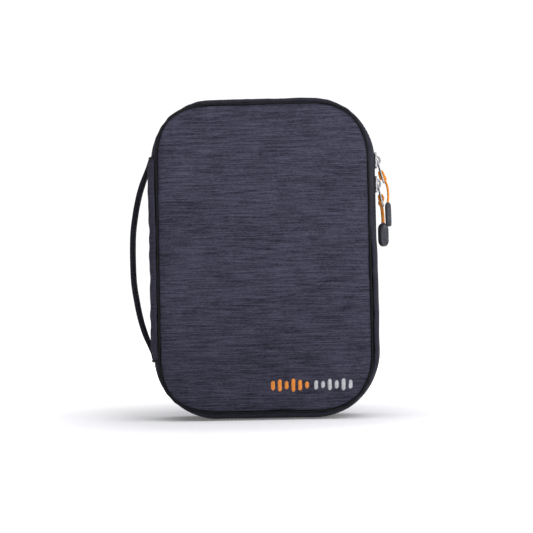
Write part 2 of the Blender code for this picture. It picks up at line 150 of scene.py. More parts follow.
# The middle of each half of the band, in millimetres: distance from the handle's middle, and how far it is
# out from the left wall
HANDLE_ROUTES = {
    "upper": (
        (78, 2.9), (72, 4.8), (66, 7.1), (59, 9.8),
        (51, 12.3), (43, 14.2), (35, 15.7), (20, 17.8), (0, 18.4),
    ),
    "lower": (
        (81, 2.5), (77, 3.3), (72, 5.1), (66, 7.6), (59, 10.2),
        (51, 12.5), (43, 14.3), (35, 15.7), (20, 17.8), (0, 18.4),
    ),
}
HANDLE_ROOT_THICK = 3.2 * MM

# The sliders, their tabs and the pulls
WALL_X = CENTRE_X + WIDTH / 2  # the right wall
SLIDER_Z = {"upper": HEIGHT - CORNER, "lower": 181.5 * MM}
NOSE_TOWARDS = {"upper": -1, "lower": 1}
SLIDER_WIDTH = 8.4 * MM
SLIDER_LENGTH = 12 * MM
# Each plate of a slider: how far out it is from the wall, thickness, bevel, and shares of width and length
SLIDER_PLATES = (
    ("top", 0.95 * MM, 1.5 * MM, 0.35 * MM, 1.0, 1.0),
    ("low", -3.3 * MM, 0.9 * MM, 0.35 * MM, 0.96, 0.96),
    ("dome", 1.8 * MM, 0.9 * MM, 0.4 * MM, 0.6, 0.72),
)
BRIDGE_REACH = 4.3 * MM
BRIDGE_HALF = 3.4 * MM
TAB_WIDTH = 5 * MM
TAB_LENGTH = 18.6 * MM
TAB_THICK = 1.2 * MM
CROSSBAR = 1.1 * MM
SLOT_AT = 9.2 * MM  # down the tab from its crossbar
SLOT_TALL = 2.6 * MM
TAB_AXIS_OUT = 2.3 * MM
TAB_AXIS_DOWN = 0.4 * MM
TAB_TILTS = {"upper": math.radians(16), "lower": math.radians(12.5)}
CORD_RADIUS = 0.85 * MM
STRAND_SIDE = 1.0 * MM  # from the middle of a cord to each of its two strands
KNOT_RADIUS = 1.5 * MM
KNOT_HALF = 1.35 * MM
KNOT_TURNS = 2.6
KNOT_ALONG = 14.6 * MM  # also down the tab from its crossbar
KNOT_OUT = {"upper": 1.0 * MM, "lower": -1.2 * MM}
CORD_BOW = {"upper": -0.08, "lower": -0.03}  # sideways, as a share of the length
GRIP_WIDTH = 10.4 * MM
GRIP_LENGTH = 18.4 * MM
GRIP_THICK = 4.2 * MM
GRIP_RIBS = (-3.6 * MM, -1.2 * MM, 1.2 * MM, 3.6 * MM)
GRIP_RIB_HALF = 2.1 * MM
# Each grip: its middle in millimetres, X from the case's middle, and its turn and lean in degrees
GRIPS = {
    "upper": {"middle": (97.4, -8, 156.6), "turn": 90, "lean": 1},
    "lower": {"middle": (94, 3.2, 141.6), "turn": 52, "lean": 0},
}

# The embroidered mark: plain bars along one level. Each has its middle's X and its height, in millimetres
MARK_Z = 26.5 * MM
MARK_BAR_WIDTH = 3.8 * MM
MARK_ROW = 0.34 * MM
MARK_THREAD_HALF = (0.24 * MM, 0.55 * MM)  # up the bar, and out of the cloth
MARK_BARS = {
    "orange": ((5, 7), (10.2, 9), (15.4, 6), (20.6, 10), (25.8, 8), (31, 5)),
    "grey": ((38, 7), (43.2, 5), (48.4, 8.5), (53.6, 6), (58.8, 9), (64, 6.5)),
}

# Colours, linear
MELANGE_DARK = (0.008, 0.0078, 0.015)
MELANGE_LIGHT = (0.066, 0.064, 0.101)
TRIM = (0.013, 0.013, 0.024)
BLACK = (0.0028, 0.0028, 0.004)
LINING_GREY = (0.03, 0.031, 0.036)
NICKEL = (0.4, 0.4, 0.415)
ORANGE = (0.93, 0.33, 0.04)
PALE_GREY = (0.62, 0.63, 0.66)
GRIP_GREY = (0.026, 0.026, 0.038)
PAPER = (0.9, 0.9, 0.93)

# The weaves. A yarn has a streak's length and thickness, the range of noise it takes up, and its share
YARNS = (
    (22 * MM, 0.8 * MM, 0.32, 0.68, 0.38),
    (3.2 * MM, 0.6 * MM, 0.28, 0.72, 0.27),
    (0.8 * MM, 0.7 * MM, 0.3, 0.7, 0.25),
)
WEAVE_PITCH = 0.9 * MM
NET_PITCH = 4 * MM
BRAID_PITCH = 1.25 * MM
THREAD_PITCH = 0.42 * MM

# The studio
CAMERA_AT = (0.027, -0.991, 0.085)
CAMERA_AIM = (0.0053, 0, 0.1185)
CAMERA_ROLL = math.radians(-1.15)
LENS = 85
WORLD_LIGHT = 0.32
WORLD_SEEN = 1.06  # the brightness of the white behind the floor
FLOOR_REACH = 12
FLOOR_GLOW = (0.15, 1.1)  # under the case, and where the floor meets the white behind it
FLOOR_FADE = (0.1, 0.45)  # how far from the case's middle each of those is
# Each area light: place, size and power
LIGHTS = {
    "key": ((0.42, -0.5, 0.4), 0.6, 3.1),
    "top": ((0.05, -0.1, 1.4), 1.8, 15),
}


# ---------------------------------------------------------------- shapes

def outline(s):
    """The points (x, z) at these distances along the outline, and the directions out of it there."""
    s = np.asarray(s, float) % AROUND
    turn = np.interp(s, KNOTS, TURNS)
    outward = np.stack([np.cos(turn), np.sin(turn)], axis=-1)
    middle = np.stack([CENTRE_X + np.interp(s, KNOTS, CORNERS_X),
                       HEIGHT / 2 + np.interp(s, KNOTS, CORNERS_Z)], axis=-1)
    return middle + CORNER * outward, outward


def on_outline(s, inset, y):
    """Points at these distances, insets and Y, which broadcast against each other."""
    point, outward = outline(s)
    inset, y = np.broadcast_arrays(inset, y)
    place = point - inset[..., None] * outward
    return np.stack([place[..., 0], np.broadcast_to(y, place.shape[:-1]), place[..., 1]], axis=-1)


def corner_swell(outward):
    """How far the panels' edge moves out where the outline faces this way, (x, z): most at 45 degrees."""
    across, up = outward[..., 0], outward[..., 1]
    return (CORNER_SWELL - CORNER_SKEW * across) * (2 * across * up) ** 2


def ripple(s, seed, waves, length=AROUND):
    """A smooth irregular wave of about -1 to 1 that closes on itself after length."""
    total = sum(np.sin(TAU * wave * s / length + seed * (1.7 + k)) for k, wave in enumerate(waves))
    return total / math.sqrt(len(waves))


def steps(start, end, spacing):
    """Evenly spaced values from start to end."""
    return np.linspace(start, end, max(2, round((end - start) / spacing) + 1))


def lengths(path):
    """The distance along a path to each of its points."""
    return np.concatenate([[0], np.cumsum(np.linalg.norm(np.diff(path, axis=0), axis=1))])


def put_mesh(name, points, faces, material, loop_uv=None):
    """A smooth mesh object, with a UV for each face's corners."""
    mesh = bpy.data.meshes.new(name)
    mesh.from_pydata(np.asarray(points).tolist(), [], np.asarray(faces).tolist())
    if loop_uv is not None:
        mesh.uv_layers.new(name="UVMap").data.foreach_set("uv", np.asarray(loop_uv, np.float32).ravel())
    mesh.shade_smooth()
    obj = bpy.data.objects.new(name, mesh)
    bpy.context.scene.collection.objects.link(obj)
    mesh.materials.append(material)
    return obj


def grid(name, points, u, v, material, wrap=(False, False)):
    """A sheet of quads through rows and columns of points. u and v are each row's and column's place in
    metres, for the weave, with one value more where wrap joins the last row or column to the first."""
    rows, columns = points.shape[:2]
    i, j = np.meshgrid(np.arange(rows if wrap[0] else rows - 1),
                       np.arange(columns if wrap[1] else columns - 1), indexing="ij")
    corners = [(i.ravel() + a, j.ravel() + b) for a, b in ((0, 0), (0, 1), (1, 1), (1, 0))]
    faces = np.stack([(a % rows) * columns + b % columns for a, b in corners], axis=1)
    uv = np.stack([np.stack([np.asarray(u)[a], np.asarray(v)[b]], axis=-1) for a, b in corners], axis=1)
    return put_mesh(name, points.reshape(-1, 3), faces, material, uv)


def swept(name, s, insets, depths, side, material, whole=False, tube=False):
    """A section swept along the outline. insets and depths have a row for each s and a column for each point
    of the section, or only the columns. whole closes it round the outline, and tube closes the section."""
    insets = np.broadcast_to(insets, (len(s), np.shape(insets)[-1]))
    depths = np.broadcast_to(depths, insets.shape)
    points = on_outline(s[:, None], insets, side * depths)
    section = np.stack([insets[0], depths[0]], axis=-1)
    v = lengths(np.concatenate([section, section[:1]]) if tube else section)
    u = np.append(s, s[0] + AROUND) if whole else s
    return grid(name, points, u, v, material, wrap=(whole, tube))


def frames_along(path, up):
    """Unit directions at each point of a path: along it, and two across it, the second nearest to up."""
    along = np.gradient(path, axis=0)
    along /= np.linalg.norm(along, axis=1, keepdims=True)
    across = np.cross(along, up)
    across /= np.linalg.norm(across, axis=1, keepdims=True)
    return along, across, np.cross(across, along)


def tube(name, path, radius, material, sides=8, up=(0, 1, 0), flat=1.0):
    """A tube with closed ends along a path. radius may change along it, and flat stretches it along up."""
    _, across, over = frames_along(path, np.broadcast_to(np.asarray(up, float), path.shape))
    angle = TAU * np.arange(sides) / sides
    radius = np.broadcast_to(radius, len(path))
    ring = (np.cos(angle)[None, :, None] * across[:, None]
            + flat * np.sin(angle)[None, :, None] * over[:, None])
    points = path[:, None] + radius[:, None, None] * ring
    v = np.arange(sides + 1) / sides * TAU * float(radius.max())
    obj = grid(name, points, lengths(path), v, material, wrap=(False, True))
    close_holes(obj)
    return obj


def close_holes(obj):
    """Fills each open rim with one face."""
    bm = bmesh.new()
    bm.from_mesh(obj.data)
    bmesh.ops.holes_fill(bm, edges=bm.edges[:], sides=0)
    bmesh.ops.recalc_face_normals(bm, faces=bm.faces[:])
    bm.to_mesh(obj.data)
    bm.free()


def curve_through(points, per_span=8):
    """A smooth path through these points (Catmull-Rom)."""
    p = np.asarray(points, float)
    p = np.concatenate([[2 * p[0] - p[1]], p, [2 * p[-1] - p[-2]]])
    t = np.arange(per_span)[:, None] / per_span
    spans = []
    for a, b, c, d in zip(p, p[1:], p[2:], p[3:]):
        spans.append(0.5 * (2 * b + (c - a) * t + (2 * a - 5 * b + 4 * c - d) * t ** 2
                            + (3 * b - a - 3 * c + d) * t ** 3))
    return np.concatenate(spans + [p[-2:-1]])


def copies(name, shape, places, axes, material):
    """One mesh of many copies of a small shape, (points, faces), each at its place and turned to its axes."""
    points, faces = shape
    placed = np.einsum("kj,nji->nki", points, axes) + places[:, None]
    every = np.arange(len(places))[:, None, None] * len(points) + faces[None]
    return put_mesh(name, placed.reshape(-1, 3), every.reshape(-1, faces.shape[1]), material)


def ring_shape(rings, sides):
    """Faces that join rings of points in turn, with the last and the first ring closed by the caller."""
    i, j = np.meshgrid(np.arange(rings - 1), np.arange(sides), indexing="ij")
    i, j = i.ravel(), j.ravel()
    k = (j + 1) % sides
    return np.stack([i * sides + j, i * sides + k, (i + 1) * sides + k, (i + 1) * sides + j], axis=1)


def thread_shape(length, radius):
    """One stitch along X that dips into the cloth at both ends."""
    sides = 6
    t = np.linspace(-1, 1, 7)
    width = radius * np.sqrt(np.clip(1 - t ** 4, 0.02, 1))
    sink = -1.1 * radius * t ** 4
    angle = TAU * np.arange(sides) / sides
    points = np.stack([np.broadcast_to(t[:, None] * length / 2, (len(t), sides)),
                       width[:, None] * np.cos(angle),
                       sink[:, None] + width[:, None] * np.sin(angle)], axis=-1)
    return points.reshape(-1, 3), ring_shape(len(t), sides)


def stitches(name, path, out, material, pitch=STITCH_PITCH, length=STITCH_LENGTH, radius=STITCH_RADIUS):
    """A row of stitches along a path, on a surface that faces out at each of its points."""
    far = lengths(path)
    at = np.arange(pitch / 2, far[-1], pitch)
    spot = np.stack([np.interp(at, far, path[:, k]) for k in range(3)], axis=-1)
    ahead = np.stack([np.interp(at + 0.2 * MM, far, path[:, k]) for k in range(3)], axis=-1)
    behind = np.stack([np.interp(at - 0.2 * MM, far, path[:, k]) for k in range(3)], axis=-1)
    up = np.stack([np.interp(at, far, out[:, k]) for k in range(3)], axis=-1)
    along = ahead - behind
    along /= np.linalg.norm(along, axis=1, keepdims=True)
    across = np.cross(up, along)
    across /= np.linalg.norm(across, axis=1, keepdims=True)
    axes = np.stack([along, across, np.cross(along, across)], axis=1)
    return copies(name, thread_shape(length, radius), spot, axes, material)


def solidify(obj, thickness, offset=-1):
    """Gives a sheet a thickness: behind its face, or half on each side with an offset of 0."""
    modifier = obj.modifiers.new("Thickness", "SOLIDIFY")
    modifier.thickness = thickness
    modifier.offset = offset
    modifier.use_even_offset = True


def subdivide(obj):
    """Smooths the mesh and doubles its rows and columns."""
    modifier = obj.modifiers.new("Smooth", "SUBSURF")
    modifier.levels = 1
    modifier.render_levels = 1


def bake(obj):
    """Applies every modifier to the mesh."""
    graph = bpy.context.evaluated_depsgraph_get()
    mesh = bpy.data.meshes.new_from_object(obj.evaluated_get(graph))
    obj.modifiers.clear()
    obj.data = mesh


def hand_over(obj, body, slot, *nodes):
    """The piece rides on a body and stands for these CAD nodes. slot is not used."""
    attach(obj, body)
    if nodes:
        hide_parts(*nodes)
    return obj


# ---------------------------------------------------------------- materials

def new_material(name, **constants):
    """A material, its node tree and its shader, with these constants on the shader's own sockets."""
    material = bpy.data.materials.new(name)
    material.use_nodes = True
    shader = material.node_tree.nodes["Principled BSDF"]
    for key, value in constants.items():
        shader.inputs[key.replace("_", " ")].default_value = value
    return material, material.node_tree, shader


def node(tree, kind, inputs=None, **settings):
    """Adds a node. An input is a number, a colour, or the socket of another node."""
    made = tree.nodes.new("ShaderNode" + kind)
    for key, value in settings.items():
        setattr(made, key, value)
    for key, value in (inputs or {}).items():
        if isinstance(value, bpy.types.NodeSocket):
            tree.links.new(value, made.inputs[key])
        else:
            made.inputs[key].default_value = value
    return made


def maths(tree, operation, *values):
    """One sum of numbers or sockets."""
    return node(tree, "Math", dict(enumerate(values)), operation=operation).outputs[0]


def place_of(tree, by_uv, scale=(1, 1, 1)):
    """The place on the surface, in metres, times a scale: across the weave by UV, or in space."""
    source = node(tree, "TexCoord").outputs["UV" if by_uv else "Object"]
    return node(tree, "Mapping", {"Vector": source, "Scale": scale}).outputs[0]


def noise(tree, place, detail=2.0, roughness=0.5):
    """Noise of about one blob to a unit of place."""
    made = node(tree, "TexNoise", {"Vector": place, "Scale": 1.0, "Detail": detail, "Roughness": roughness})
    return made.outputs["Fac"]


def spread(tree, value, low, high, to_low=0.0, to_high=1.0):
    """The value stretched from low-high to to_low-to_high."""
    inputs = {"Value": value, "From Min": low, "From Max": high, "To Min": to_low, "To Max": to_high}
    return node(tree, "MapRange", inputs).outputs[0]


def mixed(tree, factor, first, second):
    """The two colours mixed by a factor."""
    made = node(tree, "Mix", data_type="RGBA")
    sockets = (made.inputs["Factor"], made.inputs[6], made.inputs[7])
    for socket, value in zip(sockets, (factor, first, second)):
        if isinstance(value, bpy.types.NodeSocket):
            tree.links.new(value, socket)
        elif socket is made.inputs["Factor"]:
            socket.default_value = value
        else:
            socket.default_value = (*value, 1)
    return made.outputs[2]


def bumped(tree, shader, height, distance, strength):
    """Raises the surface by a height of 0 to 1, over this distance."""
    made = node(tree, "Bump", {"Height": height, "Distance": distance, "Strength": strength})
    tree.links.new(made.outputs[0], shader.inputs["Normal"])


def wave(tree, place, axis, pitch, slope=0.0):
    """A sine of this pitch along one axis of place, turned diagonal by slope."""
    parts = node(tree, "SeparateXYZ", {0: place}).outputs
    along, across = (parts[0], parts[1]) if axis == 0 else (parts[1], parts[0])
    run = maths(tree, "MULTIPLY_ADD", across, slope, along)
    return maths(tree, "SINE", maths(tree, "MULTIPLY", run, TAU / pitch))


def plain_weave(tree, place, pitch):
    """The height of threads that pass over and under each other."""
    return maths(tree, "MULTIPLY", wave(tree, place, 0, pitch), wave(tree, place, 1, pitch))


def times(colour, factor):
    """The colour, lighter or darker."""
    return tuple(c * factor for c in colour)


def melange(name, by_uv, dark, light):
    """A woven fabric of mixed dark and pale yarns, which streak along the weft."""
    material, tree, shader = new_material(name, Roughness=0.9, Specular_IOR_Level=0.2)
    clouds = spread(tree, noise(tree, place_of(tree, by_uv, (30, 30, 30)), 3.0), 0.3, 0.7)
    mix = maths(tree, "MULTIPLY", clouds, 0.1)
    for length, thick, low, high, share in YARNS:
        along, across = 1 / length, 1 / thick
        scale = (across, along, along) if by_uv else (along, along, across)
        streaks = spread(tree, noise(tree, place_of(tree, by_uv, scale), 2.0, 0.6), low, high)
        mix = maths(tree, "MULTIPLY_ADD", streaks, share, mix)
    colour = mixed(tree, spread(tree, mix, 0.22, 0.79), dark, light)
    tree.links.new(colour, shader.inputs["Base Color"])
    turned = place_of(tree, by_uv)
    if not by_uv:
        parts = node(tree, "SeparateXYZ", {0: turned}).outputs
        turned = node(tree, "CombineXYZ", {0: parts[0], 1: parts[2]}).outputs[0]
    height = maths(tree, "MULTIPLY_ADD", plain_weave(tree, turned, WEAVE_PITCH), 0.5, mix)
    bumped(tree, shader, height, 0.16 * MM, 0.9)
    return material


def ribbed_cloth(name, colour, pitch, slope, roughness=0.75):
    """A plain nylon trim fabric with fine ribs, faded a little here and there."""
    material, tree, shader = new_material(name, Roughness=roughness, Specular_IOR_Level=0.22)
    fade = spread(tree, noise(tree, place_of(tree, True, (60, 260, 60)), 4.0, 0.6), 0.3, 0.72)
    fibres = spread(tree, noise(tree, place_of(tree, True, (170, 1600, 170)), 2.0), 0.3, 0.7)
    blend = maths(tree, "MULTIPLY_ADD", fade, 0.5, maths(tree, "MULTIPLY", fibres, 0.5))
    tree.links.new(mixed(tree, blend, times(colour, 0.72), times(colour, 1.4)), shader.inputs["Base Color"])
    ribs = wave(tree, place_of(tree, True), 0, pitch, slope)
    bumped(tree, shader, maths(tree, "MULTIPLY_ADD", fibres, 0.8, ribs), 0.12 * MM, 0.8)
    return material


def lining_cloth(name, colour):
    """A short soft pile, brushed lighter in patches."""
    material, tree, shader = new_material(name, Roughness=0.95, Sheen_Weight=0.35, Sheen_Roughness=0.4)
    brushed = spread(tree, noise(tree, place_of(tree, False, (45, 45, 90)), 4.0, 0.6), 0.35, 0.68)
    pile = noise(tree, place_of(tree, False, (1500, 1500, 1500)), 3.0, 0.7)
    tree.links.new(mixed(tree, brushed, times(colour, 0.75), times(colour, 1.3)), shader.inputs["Base Color"])
    bumped(tree, shader, maths(tree, "MULTIPLY_ADD", brushed, 0.6, pile), 0.3 * MM, 0.7)
    return material


def net(name, colour, pitch):
    """A knitted net: round holes in a staggered grid, which show what is behind."""
    material, tree, shader = new_material(name, Roughness=0.6)
    place = place_of(tree, True)
    one = wave(tree, place, 0, pitch)
    other = wave(tree, place, 1, pitch * 0.8)
    holes = maths(tree, "MULTIPLY", one, other)
    cloth = spread(tree, holes, 0.08, 0.2, 1.0, 0.0)
    yarn = spread(tree, noise(tree, place_of(tree, True, (900, 900, 900)), 2.0), 0.3, 0.7)
    tree.links.new(cloth, shader.inputs["Alpha"])
    tree.links.new(mixed(tree, yarn, times(colour, 0.7), times(colour, 1.6)), shader.inputs["Base Color"])
    bumped(tree, shader, maths(tree, "MULTIPLY", holes, -1.0), 0.25 * MM, 0.8)
    material.surface_render_method = "DITHERED"
    return material


def foam(name, colour):
    """Closed-cell foam board, with painted shade in the pits of its cells."""
    material, tree, shader = new_material(name, Roughness=0.9)
    place = place_of(tree, False, (1100, 1100, 1100))
    cells = node(tree, "TexVoronoi", {"Vector": place, "Scale": 1.0}).outputs[0]
    # Painted shade: each cell is darker towards its middle, where the bump sinks into a pit.
    tree.links.new(mixed(tree, cells, times(colour, 0.6), colour), shader.inputs["Base Color"])
    bumped(tree, shader, cells, 0.2 * MM, 0.6)
    return material


def nylon(name, colour):
    """Moulded monofilament, a little scuffed."""
    material, tree, shader = new_material(name, Specular_IOR_Level=0.3)
    scuffs = noise(tree, place_of(tree, False, (700, 700, 700)), 3.0, 0.6)
    tree.links.new(mixed(tree, scuffs, times(colour, 0.7), times(colour, 1.7)), shader.inputs["Base Color"])
    rough = spread(tree, scuffs, 0.3, 0.7, 0.42, 0.64)
    tree.links.new(rough, shader.inputs["Roughness"])
    bumped(tree, shader, scuffs, 0.03 * MM, 0.5)
    return material


def nickel_plate(name):
    """Polished plate with fine scratches and dull spots."""
    material, tree, shader = new_material(name, Metallic=1.0)
    dull = spread(tree, noise(tree, place_of(tree, False, (420, 420, 420)), 4.0, 0.65), 0.35, 0.7)
    scratches = noise(tree, place_of(tree, False, (900, 900, 9000)), 2.0)
    tree.links.new(mixed(tree, dull, NICKEL, times(NICKEL, 0.82)), shader.inputs["Base Color"])
    tree.links.new(spread(tree, dull, 0.0, 1.0, 0.16, 0.34), shader.inputs["Roughness"])
    bumped(tree, shader, scratches, 0.012 * MM, 0.5)
    return material


def braided_cord(name, colour):
    """Round braid: yarns that cross each other in two slants, with painted shade in the grooves between them.
    """
    material, tree, shader = new_material(name, Roughness=0.7, Specular_IOR_Level=0.25)
    place = place_of(tree, True)
    one, other = (wave(tree, place, 0, BRAID_PITCH, slope) for slope in (0.7, -0.7))
    height = maths(tree, "MAXIMUM", one, other)
    wear = spread(tree, noise(tree, place_of(tree, False, (500, 500, 500)), 3.0), 0.3, 0.7)
    worn = maths(tree, "MULTIPLY", wear, 0.35)
    # Painted shade: the grooves between the yarns are darker, and the patches of wear are lighter.
    groove_shade_and_wear = maths(tree, "MULTIPLY_ADD", spread(tree, height, -0.2, 0.9), 0.65, worn)
    tree.links.new(mixed(tree, groove_shade_and_wear, times(colour, 0.62), times(colour, 1.05)), shader.inputs["Base Color"])
    bumped(tree, shader, height, 0.16 * MM, 1.0)
    return material


def soft_plastic(name, colour):
    """A soft-touch moulding: fine spark grain, rubbed shinier in patches."""
    material, tree, shader = new_material(name, Sheen_Weight=0.05)
    grain = noise(tree, place_of(tree, False, (2600, 2600, 2600)), 2.0, 0.7)
    rubbed = spread(tree, noise(tree, place_of(tree, False, (190, 190, 190)), 3.0), 0.35, 0.68)
    tree.links.new(mixed(tree, rubbed, times(colour, 0.85), times(colour, 1.25)), shader.inputs["Base Color"])
    tree.links.new(spread(tree, rubbed, 0.0, 1.0, 0.62, 0.46), shader.inputs["Roughness"])
    bumped(tree, shader, grain, 0.05 * MM, 0.6)
    return material


def thread(name, colour):
    """Twisted embroidery or sewing thread, with a silky sheen."""
    material, tree, shader = new_material(name, Roughness=0.5, Sheen_Weight=0.15)
    twist = wave(tree, place_of(tree, False), 1, THREAD_PITCH, 0.9)
    tint = spread(tree, noise(tree, place_of(tree, False, (600, 600, 900)), 2.0), 0.3, 0.7)
    tree.links.new(mixed(tree, tint, times(colour, 0.72), times(colour, 1.08)), shader.inputs["Base Color"])
    bumped(tree, shader, twist, 0.05 * MM, 0.5)
    return material


# ---------------------------------------------------------------- the padded panels

def rounded_grid(width, height, corner, step, lower_only=False):
    """Rows and columns of x and z over a rectangle with round corners, about its middle. The grid runs
    straight across the middle and turns into each corner. Also each point's distance from the edge."""

    def marks(half):
        flat = steps(-(half - corner), half - corner, step)
        bend = steps(0, 1, step / corner)[1:]
        return np.concatenate([-(half - corner) - corner * bend[::-1], flat, half - corner + corner * bend])

    x, z = np.meshgrid(marks(width / 2), marks(height / 2), indexing="xy")
    over_x = np.clip((np.abs(x) - (width / 2 - corner)) / corner, 0, None)
    over_z = np.clip((np.abs(z) - (height / 2 - corner)) / corner, 0, None)
    if lower_only:
        over_x = np.where(z < 0, over_x, 0)
    turned_x = over_x * np.sqrt(1 - over_z ** 2 / 2)
    turned_z = over_z * np.sqrt(1 - over_x ** 2 / 2)
    square = (over_x > 0) & (over_z > 0)
    new_x = np.where(square, np.sign(x) * (width / 2 - corner + corner * turned_x), x)
    new_z = np.where(square, np.sign(z) * (height / 2 - corner + corner * turned_z), z)
    inner_x = np.clip(np.abs(new_x) - (width / 2 - corner), 0, None)
    inner_z = np.clip(np.abs(new_z) - (height / 2 - corner), 0, None)
    edge = corner - np.hypot(inner_x, inner_z)
    edge += np.where((inner_x == 0) & (inner_z == 0),
                     np.minimum(width / 2 - corner - np.abs(new_x), height / 2 - corner - np.abs(new_z)), 0)
    return new_x, new_z, np.clip(edge, 0, None)


def edge_puckers(x, z, edge, seed):
    """Small gathers where the cloth is sewn in, and dimples, which die out towards the middle."""
    gathers = ripple(np.arctan2(x, z), seed, (23, 41, 67, 101), TAU)
    dimples = 0
    for at_x, at_z, width, depth in DIMPLES:
        away = (x - at_x * MM) ** 2 + (z - at_z * MM) ** 2
        dimples = dimples + depth * MM * np.exp(-away / (2 * (width * MM) ** 2))
    return PUCKER * gathers * np.exp(-edge / PUCKER_REACH) - dimples * np.exp(-edge / (2 * PUCKER_REACH))


def pushed_corners(x, z, edge):
    """The padding moves the panel's edge out at the corners, and the cloth behind it a little less."""
    past = np.stack([np.sign(x) * np.clip(np.abs(x) - ACROSS / 2, 0, None),
                     np.sign(z) * np.clip(np.abs(z) - UPRIGHT / 2, 0, None)], axis=-1)
    outward = past / np.maximum(np.linalg.norm(past, axis=-1, keepdims=True), 1e-9)
    moved = (corner_swell(outward) * np.exp(-edge / SWELL_REACH))[..., None] * outward
    return x + moved[..., 0], z + moved[..., 1]


def build_panel(half, material):
    """A padded panel, sewn in under the piping and filled by a cloth simulation."""
    side, body = HALVES[half]
    inset = PANEL_INSET
    x, z, edge = rounded_grid(WIDTH - 2 * inset, HEIGHT - 2 * inset, CORNER - inset, PANEL_STEP)
    crown = PANEL_CROWN * (1 - np.exp(-edge / PANEL_EASE)) + edge_puckers(x, z, edge, 2.0 + side)
    x, z = pushed_corners(x, z, edge)
    points = np.stack([CENTRE_X + x, side * (PANEL_EDGE_DEPTH + crown), HEIGHT / 2 + z], axis=-1)
    if side > 0:
        points, edge = points[:, ::-1], edge[:, ::-1]
    panel = grid(f"{half}_panel_cover", points, z[:, 0], x[0], material)
    fill_with_cloth(panel, edge.ravel())
    solidify(panel, PANEL_THICK)
    subdivide(panel)
    bake(panel)
    hand_over(panel, body, "panel_fabric", f"{half}_panel")
    return panel


def fill_with_cloth(panel, edge):
    """Eases the cloth in, a little larger than its frame, over the pressure of the padding behind it. It is
    sewn down along its edge, and clings lightly to the padding elsewhere."""
    held = panel.vertex_groups.new(name="held")
    for index, distance in enumerate(edge):
        held.add([index], 1.0 if distance < 0.3 * MM else 0.12, "REPLACE")
    before = np.array([v.co for v in panel.data.vertices])
    cloth = panel.modifiers.new("Cloth", "CLOTH")
    cloth.settings.quality = 6
    cloth.settings.mass = 0.2
    cloth.settings.tension_stiffness = 12
    cloth.settings.compression_stiffness = 12
    cloth.settings.bending_stiffness = 0.4
    cloth.settings.shrink_min = -0.02
    cloth.settings.use_pressure = True
    cloth.settings.uniform_pressure_force = 0.35
    cloth.settings.vertex_group_mass = "held"
    cloth.settings.pin_stiffness = 1.0
    cloth.settings.effector_weights.gravity = 0
    cloth.collision_settings.use_self_collision = False
    scene = bpy.context.scene
    for frame_number in range(1, CLOTH_FRAMES + 1):
        scene.frame_set(frame_number)
    bake(panel)
    scene.frame_set(1)
    move = np.array([v.co for v in panel.data.vertices]) - before
    size = np.linalg.norm(move, axis=1, keepdims=True)
    capped = before + move * np.minimum(1, MOST_CLOTH_MOVE / np.maximum(size, 1e-9))
    panel.data.vertices.foreach_set("co", capped.astype(np.float32).ravel())
    panel.data.update()


# ---------------------------------------------------------------- the shell round the panels

def around(spacing):
    """Distances all the way round the outline."""
    return np.arange(round(AROUND / spacing)) * AROUND / round(AROUND / spacing)


def past_spine(spacing):
    """Distances along the gusset, from the top of the spine round to the bottom of it."""
    return steps(SPINE_HALF, AROUND - SPINE_HALF, spacing)


def wall_profile(proud, crown, fold, edge):
    """Insets and depths from the fold at the zip, over the crowned side and round towards the piping."""
    bend = np.radians((90, 60, 30, 0)) if fold else np.array([])
    level = np.linspace(edge + fold + 1 * MM, GUSSET_FLAT, 6)
    angle = np.linspace(0, GUSSET_TURN, 10)[1:]
    turned = (1 - np.cos(angle)) / (1 - math.cos(GUSSET_TURN))
    reach = GUSSET_INSET * (1 - math.cos(GUSSET_TURN)) + proud - crown
    insets = np.concatenate([fold * (1 - np.cos(bend)),
                             crown * ((level - edge) / (GUSSET_FLAT - edge)) ** 1.6,
                             crown + reach * turned])
    depths = np.concatenate([edge + fold * (1 - np.sin(bend)), level,
                             GUSSET_FLAT + GUSSET_DEPTH * np.sin(angle)])
    return insets - proud, depths


def build_piping(half, material):
    """The covered cord in the seam round a panel."""
    side, body = HALVES[half]
    s = around(1.8 * MM)
    inset = PIPING_INSET + 0.18 * MM * ripple(s, 3.1, (9, 17, 31)) - corner_swell(outline(s)[1])
    depth = PIPING_DEPTH + 0.1 * MM * ripple(s, 1.3, (11, 23))
    radius = PIPING_RADIUS + 0.06 * MM * ripple(s, 0.7, (41, 67))
    angle = TAU * np.arange(12) / 12
    insets = inset[:, None] + radius[:, None] * np.cos(angle)
    depths = depth[:, None] + radius[:, None] * np.sin(angle)
    piping = swept(f"{half}_piping_cord", s, insets, depths, side, material, whole=True, tube=True)
    hand_over(piping, body, "trim_fabric", f"{half}_piping")


